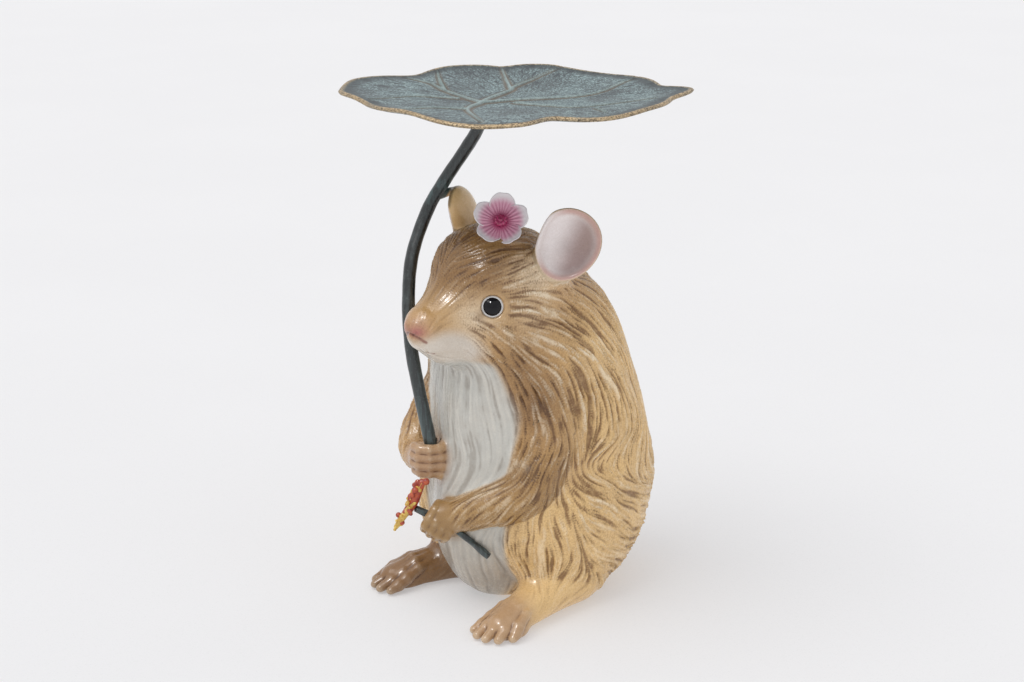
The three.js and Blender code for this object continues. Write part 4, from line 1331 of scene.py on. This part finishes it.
LEAF_CENTRE = np.array([4.0, -18.0])
LEAF_RIM_HEIGHT = 497.0
LEAF_DISH_DEPTH = 10.0
LEAF_THICKNESS = 4.0
LEAF_EDGE = [
    (-151, 169), (-133, 166), (-109, 150), (-90, 154), (-57, 171), (-42, 163), (-29, 142), (-12, 150),
    (10, 149), (32, 146), (50, 163), (63, 141), (90, 141), (114, 135), (130, 145), (144, 138), (166, 156),
    (182, 147),
]
# Where the leaf's edge dips: bearing in degrees, depth in mm, width in degrees
LEAF_EDGE_DIPS = [
    (182, 1.0, 7), (144, 1.5, 6), (130, 1.5, 8), (62, 2.0, 6), (-3, 4.0, 17), (-31, -1.6, 10), (-109, 2.0, 8),
]
# Waves along the leaf's edge: how many, height in mm, phase
LEAF_WAVES = [(3, 1.5, 0.6), (5, 1.1, 2.1), (9, 0.7, 1.0)]
# Veins from the stem's place outwards: their middle lines in plan, with the half-width at the start
VEINS = [
    (((-9, -52), (-19, -50), (-72, -43), (-104, -35), (-138, -39)), 3.2),
    (((-72, -43), (-109, -18), (-144, 8)), 2.2),
    (((-9, -52), (-20, -34), (-35, 7), (-45, 23), (-58, 67), (-63, 107)), 3.0),
    (((-38, 11), (-73, 36), (-112, 63)), 2.2),
    (((-9, -52), (0, -18), (19, 9), (35, 40), (36, 63), (27, 94), (23, 125)), 2.8),
    (((-9, -52), (18, -92), (91, -139)), 2.8),
    (((18, -92), (-3, -118), (5, -156)), 2.0),
    (((-35, -57), (-53, -77), (-64, -100), (-58, -145)), 1.8),
    (((12, -29), (46, -23), (83, -6), (110, 57)), 1.9),
    (((99, -9), (127, -25)), 1.5),
]


def edge_distance(degrees):
    """How far the leaf's edge lies from its middle at each bearing."""
    table = LEAF_EDGE + [(LEAF_EDGE[0][0] + 360, LEAF_EDGE[0][1])]
    first = LEAF_EDGE[0][0]
    d = first + np.mod(degrees - first, 360)
    reach = np.zeros_like(d)
    for (a, low), (b, high) in zip(table, table[1:]):
        inside = (d >= a) & (d < b)
        reach[inside] = low + (high - low) * smooth(a, b, d[inside])
    return reach


def vein_masks(xy):
    """1 on a vein's ridge, and 1 in the band along its two sides."""
    ridge = np.zeros(len(xy))
    side = np.zeros(len(xy))
    for places, half in VEINS:
        line = spline([(x, y, 0) for x, y in places], 8)[:, :2]
        for k, (a, b) in enumerate(zip(line, line[1:])):
            taper = half * (1 - 0.62 * k / (len(line) - 1))
            run = b - a
            share = np.clip((xy - a) @ run / (run @ run), 0, 1)
            gap = np.linalg.norm(xy - a - share[:, None] * run, axis=1)
            ridge = np.maximum(ridge, smooth(taper * 1.15, taper * 0.35, gap) * (0.55 + 0.45 * taper / half))
            side = np.maximum(side, smooth(taper * 3.4, taper * 1.3, gap))
    return ridge, side * (1 - ridge)


def disc_faces(around, out):
    """Faces of a closed sheet: the upper rings, the lower rings, the edge ring and the two middles."""
    n = around * out
    faces = []
    for k in range(out - 1):
        for s in range(around):
            t = (s + 1) % around
            a, b, c, d = k * around + s, k * around + t, (k + 1) * around + t, (k + 1) * around + s
            faces.append([a, d, c, b])
            faces.append([n + a, n + b, n + c, n + d])
    rim, low, edge = n - around, 2 * n - around, 2 * n
    for s in range(around):
        t = (s + 1) % around
        faces.append([rim + s, edge + s, edge + t, rim + t])
        faces.append([edge + s, low + s, low + t, edge + t])
        faces.append([edge + around, s, t])
        faces.append([edge + around + 1, n + t, n + s])
    return faces


def leaf():
    """The dished leaf with its raised veins, wavy edge and beaded rim."""
    around, out = 420, 120
    shares = 1 - (1 - np.linspace(0, 1, out + 1)[1:]) ** 1.25
    angles = np.arange(around) * 360.0 / around
    reach = edge_distance(angles - 180)
    heading = np.radians(angles - 180)
    wave = sum(height * np.sin(heading * count + phase) for count, height, phase in LEAF_WAVES)
    notch = sum(depth * np.exp(-((np.mod(np.degrees(heading) - at + 180, 360) - 180) / wide) ** 2)
                for at, depth, wide in LEAF_EDGE_DIPS)
    spokes = [np.outer(shares, reach * np.cos(heading)), np.outer(shares, reach * np.sin(heading))]
    xy = LEAF_CENTRE + np.stack(spokes, 2).reshape(-1, 2)
    share = np.repeat(shares, around)
    lift = np.tile(wave - notch, out)
    ridge, side = vein_masks(xy)
    rng = np.random.default_rng(SEED + 1)
    flat = np.concatenate([xy, np.zeros((len(xy), 1))], 1)
    top = LEAF_RIM_HEIGHT - LEAF_DISH_DEPTH * (1 - share**2) + lift * share**5 + 0.45 * wander(flat, 26, rng)
    bead = 0.9 * np.exp(-(((share - 0.985) / 0.012) ** 2))
    ridges = 1.7 * ridge * smooth(1.0, 0.93, share) - 0.5 * side
    under = top - LEAF_THICKNESS - 1.3 * ridge * smooth(1.0, 0.9, share) + 1.2 * smooth(0.93, 1.0, share)
    top = top + ridges + bead
    centre_top = LEAF_RIM_HEIGHT - LEAF_DISH_DEPTH
    upper = np.concatenate([xy, top[:, None]], 1)
    lower = np.concatenate([xy, under[:, None]], 1)
    last = slice((out - 1) * around, out * around)
    edge = upper[last].copy()
    edge[:, :2] += np.stack([np.cos(heading), np.sin(heading)], 1) * 1.3
    edge[:, 2] = 0.5 * (upper[last][:, 2] + lower[last][:, 2]) + 0.2
    middles = [[*LEAF_CENTRE, centre_top], [*LEAF_CENTRE, centre_top - LEAF_THICKNESS]]
    vertices = np.vstack([upper, lower, edge, middles])
    worn = smooth(0.966, 0.99, share)
    shade_above = smooth(0.86, 0.95, share) * (1 - worn)
    shade_below = 0.9 * smooth(0.99, 0.9, share)
    ends = np.zeros(around), [0, 0]
    attributes = {
        "vein": np.concatenate([ridge, 0.3 * ridge, *ends]),
        "veinside": np.concatenate([side, 0 * side, *ends]),
        "rim": np.concatenate([worn, 0.8 * worn, np.ones(around), [0, 0]]),
        "shade": np.concatenate([shade_above, shade_below, *ends]),
    }
    polar = np.stack([np.tile(angles, out), share * 160, 0 * share], 1)
    attributes["polar"] = np.vstack([polar, polar, polar[last], np.zeros((2, 3))])
    piece = mesh_object("leaf_dish", vertices, disc_faces(around, out), LEAF_FINISH, attributes=attributes)
    declare(piece, "leaf_patina", "leaf_tray")


def boss():
    """The socket under the leaf, flared where it is welded to the leaf."""
    x, y = STEM_LINE[-1][:2]
    profile = [
        (0, 464), (7.6, 464), (8.6, 464.6), (9.4, 466), (9.8, 470), (10.6, 475), (12.4, 479.5), (15, 482.6),
        (18.5, 484.2), (19.5, 485), (18.5, 485.6), (0, 485.6),
    ]

    def cast_ripple(angle, height):
        return 0.015 * math.sin(5 * angle + height)

    vertices, faces = lathe(profile, 56, (x, y, 0), (0, 0, 1), cast_ripple)
    zero = np.zeros(len(vertices))
    rim = smooth(466.5, 464.5, vertices[:, 2])
    attributes = {
        "vein": zero, "veinside": zero, "rim": 0.7 * rim, "shade": 0.6 * (1 - rim), "polar": vertices,
    }
    piece = mesh_object("leaf_socket", vertices, faces, LEAF_FINISH, attributes=attributes)
    declare(piece, "leaf_patina", "leaf_boss")


def stem():
    """The bowed rod, slightly lumpy as cast and hammered."""
    rng = np.random.default_rng(SEED + 2)
    phases = rng.uniform(0, 6.3, 6)

    def swell(share, angle):
        lumps = 0.014 * math.sin(9 * share * 6.3 + phases[0]) + 0.010 * math.sin(23 * share * 6.3 + phases[1])
        facets = 0.018 * math.sin(2 * angle + phases[2] + 4 * share) + 0.012 * math.sin(3 * angle + phases[3])
        return lumps + facets

    stations = [(x, y, z, STEM_RADIUS) for x, y, z in STEM_LINE]
    vertices, faces = tube_mesh(stations, 36, 18, swell, 1.0)
    height = vertices[:, 2]
    green = 0.45 * smooth(250, 180, height) + 0.8 * smooth(380, 394, height) * smooth(415, 400, height) + 0.08
    piece = mesh_object("stem_rod", vertices, faces, STEM_FINISH, attributes={"green": np.clip(green, 0, 1)})
    declare(piece, "stem_patina", "leaf_stem")


def twig():
    def swell(share, angle):
        return 0.10 * math.sin(4 * angle + 7 * share) + 0.07 * math.sin(26 * share + 2 * angle)

    vertices, faces = tube_mesh(TWIG, 20, 14, swell, 0.3)
    green = np.full(len(vertices), 0.5)
    piece = mesh_object("sprig_stalk", vertices, faces, STEM_FINISH, attributes={"green": green})
    declare(piece, "stem_patina", "sprig_twig")


LEAF_FINISH = leaf_patina()
STEM_FINISH = stem_patina()
leaf()
boss()
stem()
twig()


# ---- Blossom on the crown ----

BLOSSOM_FACING = unit((0.6, -0.56, 0.57))
BLOSSOM_CENTRE = np.array([16.0, -50.2, 377.2]) + BLOSSOM_FACING * 3.4
PETAL_COUNT = 5
PETAL_REACH = 27.0
PETAL_MIDDLE = 14.6
BLOSSOM_SPIN = math.radians(-5)


def blossom_axes():
    up = unit(np.array((0, 0, 1.0)) - BLOSSOM_FACING * BLOSSOM_FACING[2])
    across = np.cross(up, BLOSSOM_FACING)
    return np.stack([across, up, BLOSSOM_FACING])


def petal(index):
    """One rounded, notched, cupped petal, with radial grooves and a rolled edge."""
    around, out = 56, 22
    phi = np.arange(around) * 2 * math.pi / around
    rho = np.linspace(0, 1, out + 1)[1:]
    notch = 1 - 0.10 * np.exp(-(((phi - math.pi / 2) / 0.30) ** 2)) + 0.010 * np.sin(5 * phi + index)
    x = np.outer(rho, 11.9 * np.cos(phi) * notch)
    y = PETAL_MIDDLE + np.outer(rho, 12.4 * np.sin(phi) * notch)
    x = x * (0.45 + 0.55 * smooth(0, 15, y))
    far = np.hypot(x, y)
    bearing = np.arctan2(x, y)
    grooves = 0.5 + 0.5 * np.cos(bearing * 30 + 1.7 * np.sin(index + bearing * 3))
    fade = smooth(4, 9, far) * smooth(PETAL_REACH, 17, far)
    edge = np.broadcast_to(rho[:, None], x.shape)
    rolled = 0.5 * smooth(0.8, 1.0, edge) * smooth(12, 20, far)
    z = 1.2 + 0.011 * (far - 6) ** 2 - 0.010 * x**2 + rolled - 0.45 * grooves * fade
    z = z - 0.9 * smooth(8, 0, far)
    top = np.stack([x, y, z], 2).reshape(-1, 3)
    low = np.stack([x, y, z - 1.7 * (1 - 0.45 * edge**4)], 2).reshape(-1, 3)
    middle = np.array([[0, PETAL_MIDDLE, 1.0], [0, PETAL_MIDDLE, -0.7]])
    lip = top[-around:].copy()
    lip[:, :2] += np.stack([np.cos(phi), np.sin(phi)], 1) * 0.45
    lip[:, 2] -= 0.45
    vertices = np.vstack([top, low, lip, middle])
    outward = np.clip(np.hypot(vertices[:, 0], vertices[:, 1]) / PETAL_REACH, 0, 1)
    brim = np.concatenate([edge.ravel(), edge.ravel(), np.ones(around), [0, 0]]) ** 5
    outward = np.maximum(outward, brim * smooth(0.35, 0.75, outward))
    streak = np.concatenate([(grooves * fade).ravel(), 0 * edge.ravel(), np.zeros(around), [0, 0]]) ** 2
    tilt = Matrix.Rotation(0.05, 3, "Y") @ Matrix.Rotation(0.10, 3, "X")
    turn = Matrix.Rotation(2 * math.pi * index / PETAL_COUNT + BLOSSOM_SPIN, 3, "Z") @ tilt
    return vertices @ np.array(turn).T, disc_faces(around, out), outward, streak


def blossom():
    """Five petals round a small cup."""
    axes = blossom_axes()
    stacks = [petal(index) for index in range(PETAL_COUNT)]
    at, faces, start = [], [], 0
    for vertices, own, _, _ in stacks:
        at.append(vertices @ axes + BLOSSOM_CENTRE)
        faces += [[start + v for v in face] for face in own]
        start += len(vertices)
    cup = [(0, -5.5), (5.5, -5.5), (7, -3), (7.6, -0.5), (6.5, 1.2), (0, 1.4)]
    hub, hub_faces = lathe(cup, 32, BLOSSOM_CENTRE, BLOSSOM_FACING)
    faces += [[start + v for v in face] for face in hub_faces]
    outward = np.concatenate([s[2] for s in stacks] + [np.full(len(hub), 0.2)])
    streak = np.concatenate([s[3] for s in stacks] + [np.zeros(len(hub))])
    piece = mesh_object("blossom_flower", np.vstack(at + [hub]), faces, petal_paint(),
                        attributes={"outward": outward, "streak": streak})
    declare(piece, "petal_paint", "blossom_petals")


def blossom_heart():
    """A dimpled button with ten dents round its side."""
    profile = [
        (0, 1.2), (5.2, 1.2), (6.0, 2.2), (6.2, 3.6), (5.6, 5.0), (4.4, 5.9), (3.2, 6.0), (2.3, 5.5),
        (1.6, 6.2), (0.9, 6.6), (0, 6.7),
    ]

    def stamen_dents(angle, height):
        return 0.07 * math.cos(10 * angle)

    vertices, faces = lathe(profile, 60, BLOSSOM_CENTRE, BLOSSOM_FACING, stamen_dents)
    heart = simple_paint("petal_heart_paint", (0.26, 0.012, 0.06), (0.50, 0.045, 0.16), 500.0, (0.22, 0.38),
                         0.3, Coat_Weight=0.5, Coat_Roughness=0.1)
    declare(mesh_object("blossom_button", vertices, faces, heart), "petal_heart_paint", "blossom_centre")


blossom()
blossom_heart()


# ---- Sprig blossom in the left paw ----

SPRIG_SPINE = [
    (-4, -133, 134), (-7, -136, 125), (-10, -139, 116), (-13, -141, 108), (-18, -146, 98), (-23, -150, 88),
]


def sprig_lobes(rng, count, spread, radius, start, end):
    """Small balls scattered along the spine, as centres and radii."""
    line = spline([place + (0,) for place in SPRIG_SPINE], 10)[:, :3]
    for k in range(count):
        share = start + (end - start) * (k + rng.uniform(0, 0.8)) / count
        at = line[int(share * (len(line) - 1))]
        centre = at + rng.normal(size=3) * spread * (1 - 0.35 * share)
        yield centre, radius * rng.uniform(0.75, 1.2) * (1 - 0.25 * share)


def sprig_mass(name, lobes, core, finish, slot, node):
    """Small balls melted together over a thicker core."""
    low = np.min([c - r for c, r in lobes], axis=0) - 3
    high = np.max([c + r for c, r in lobes], axis=0) + 3

    def field(p):
        d = tube(p, core, 5)
        for centre, radius in lobes:
            d = melt(d, np.sqrt(((p - centre.astype(np.float32)) ** 2).sum(1)) - radius, 0.9)
        return d

    low = np.minimum(low, np.min([c[:3] for c in core], axis=0) - 7)
    high = np.maximum(high, np.max([c[:3] for c in core], axis=0) + 7)
    surface = net_of(field, low, high, 0.55, 4)
    declare(mesh_object(name, surface.at, surface.quads, finish, surface.normals()), slot, node)


def sprig():
    """A red cluster with yellow stamens on its front, hanging from the paw."""
    rng = np.random.default_rng(SEED + 3)
    red = simple_paint("red_paint", (0.30, 0.030, 0.025), (0.55, 0.10, 0.03), 260.0, (0.3, 0.5), 0.3,
                       Coat_Weight=0.3)
    yellow = simple_paint("yellow_paint", (0.58, 0.33, 0.05), (0.80, 0.58, 0.14), 300.0, (0.3, 0.5), 0.3,
                          Coat_Weight=0.3)
    toward = unit((0.70, -0.68, 0.2))

    def spine(offset, radii):
        return [tuple(np.array(place, float) + toward * offset) + (radius,)
                for place, radius in zip(SPRIG_SPINE, radii)]

    core = spine(-1.0, (3.4, 4.6, 5.6, 4.6, 3.2, 2.0))
    red_lobes = list(sprig_lobes(rng, 26, 3.6, 3.0, 0.0, 0.85))
    sprig_mass("sprig_petals", red_lobes, core, red, "red_paint", "sprig_red_blossom")
    front = spine(2.6, (0.6, 0.8, 1.4, 2.8, 3.4, 2.4))
    yellow_lobes = [(c + toward * 3.6, r) for c, r in sprig_lobes(rng, 30, 2.9, 2.1, 0.12, 1.0)]
    sprig_mass("sprig_stamens", yellow_lobes, front, yellow, "yellow_paint", "sprig_yellow_blossom")


sprig()


# ---- Metal that the castings hide ----

bare = simple_paint("cast_metal", (0.36, 0.37, 0.38), (0.50, 0.51, 0.52), 60.0, (0.4, 0.6), 0.4,
                    Metallic=0.9)
HIDDEN_METAL = [
    "neck_sleeve", "left_arm_dowel", "right_arm_dowel", "left_foot_dowel", "right_foot_dowel", "tail_dowel",
    "boss_lock_screw", "blossom_pin",
]
for name in HIDDEN_METAL:
    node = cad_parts[name]
    node.data.materials.clear()
    node.data.materials.append(bare)


# ---- Studio ----

FLOOR_HALF = 24.0
FLOOR_DROP = 0.4  # mm below the soles
FLOOR_GLOW = (0.35, 0.348, 0.352, 1)


def floor():
    """A wide pale floor, finer near the object. Its own faint glow keeps the shadows light."""
    side = 12
    steps = np.linspace(-1, 1, side + 1)
    line = np.sign(steps) * np.abs(steps) ** 3 * FLOOR_HALF
    row = side + 1
    vertices = [(x / MM, y / MM, -FLOOR_DROP) for y in line for x in line]
    corners = [j * row + i for j in range(side) for i in range(side)]
    faces = [[corner, corner + 1, corner + row + 1, corner + row] for corner in corners]
    paint = simple_paint("floor_paint", (0.50, 0.50, 0.505), (0.51, 0.51, 0.515), 2.0, (0.7, 0.8), 0.02,
                         Specular_IOR_Level=0.1, Emission_Color=FLOOR_GLOW, Emission_Strength=1.0)
    mesh_object("floor", vertices, faces, paint)


def towards(azimuth, elevation):
    """The way to a place seen at an azimuth from the mouse's front and an elevation, both in degrees."""
    a, e = math.radians(azimuth), math.radians(elevation)
    return Vector((math.sin(a) * math.cos(e), -math.cos(a) * math.cos(e), math.sin(e)))


def soft_sun(name, azimuth, elevation, power, spread, colour=(1, 1, 1)):
    """Even light from one side of the sky."""
    light = bpy.data.lights.new(name, "SUN")
    light.energy, light.angle, light.color = power, math.radians(spread), colour
    holder = bpy.data.objects.new(name, light)
    holder.rotation_euler = (-towards(azimuth, elevation)).to_track_quat("-Z", "Y").to_euler()
    bpy.context.scene.collection.objects.link(holder)
    return holder


def studio():
    """A pale sky, a broad soft sun, and a smaller one that only adds glints."""
    world = bpy.data.worlds.new("studio")
    world.use_nodes = True
    background = world.node_tree.nodes["Background"]
    background.inputs["Color"].default_value = (0.97, 0.975, 1.0, 1)
    background.inputs["Strength"].default_value = 0.78
    bpy.context.scene.world = world
    soft_sun("key", -14, 66, 0.95, 40, (1.0, 0.985, 0.96))
    spark = soft_sun("spark", 24, 55, 1.5, 8)
    spark.visible_diffuse = False


def camera():
    """The view from the mouse's front left, a little above it."""
    distance = 1.84
    target = Vector((0.0425, -0.060, 0.270))
    way = towards(48, 17)
    data = bpy.data.cameras.new("camera")
    data.lens = 69.1
    data.sensor_width = 36.0
    data.clip_start, data.clip_end = 0.05, 100.0
    holder = bpy.data.objects.new("camera", data)
    holder.location = target + way * distance
    holder.rotation_euler = (-way).to_track_quat("-Z", "Y").to_euler()
    bpy.context.scene.collection.objects.link(holder)
    bpy.context.scene.camera = holder


floor()
studio()
camera()
bpy.context.scene.view_settings.view_transform = "Standard"
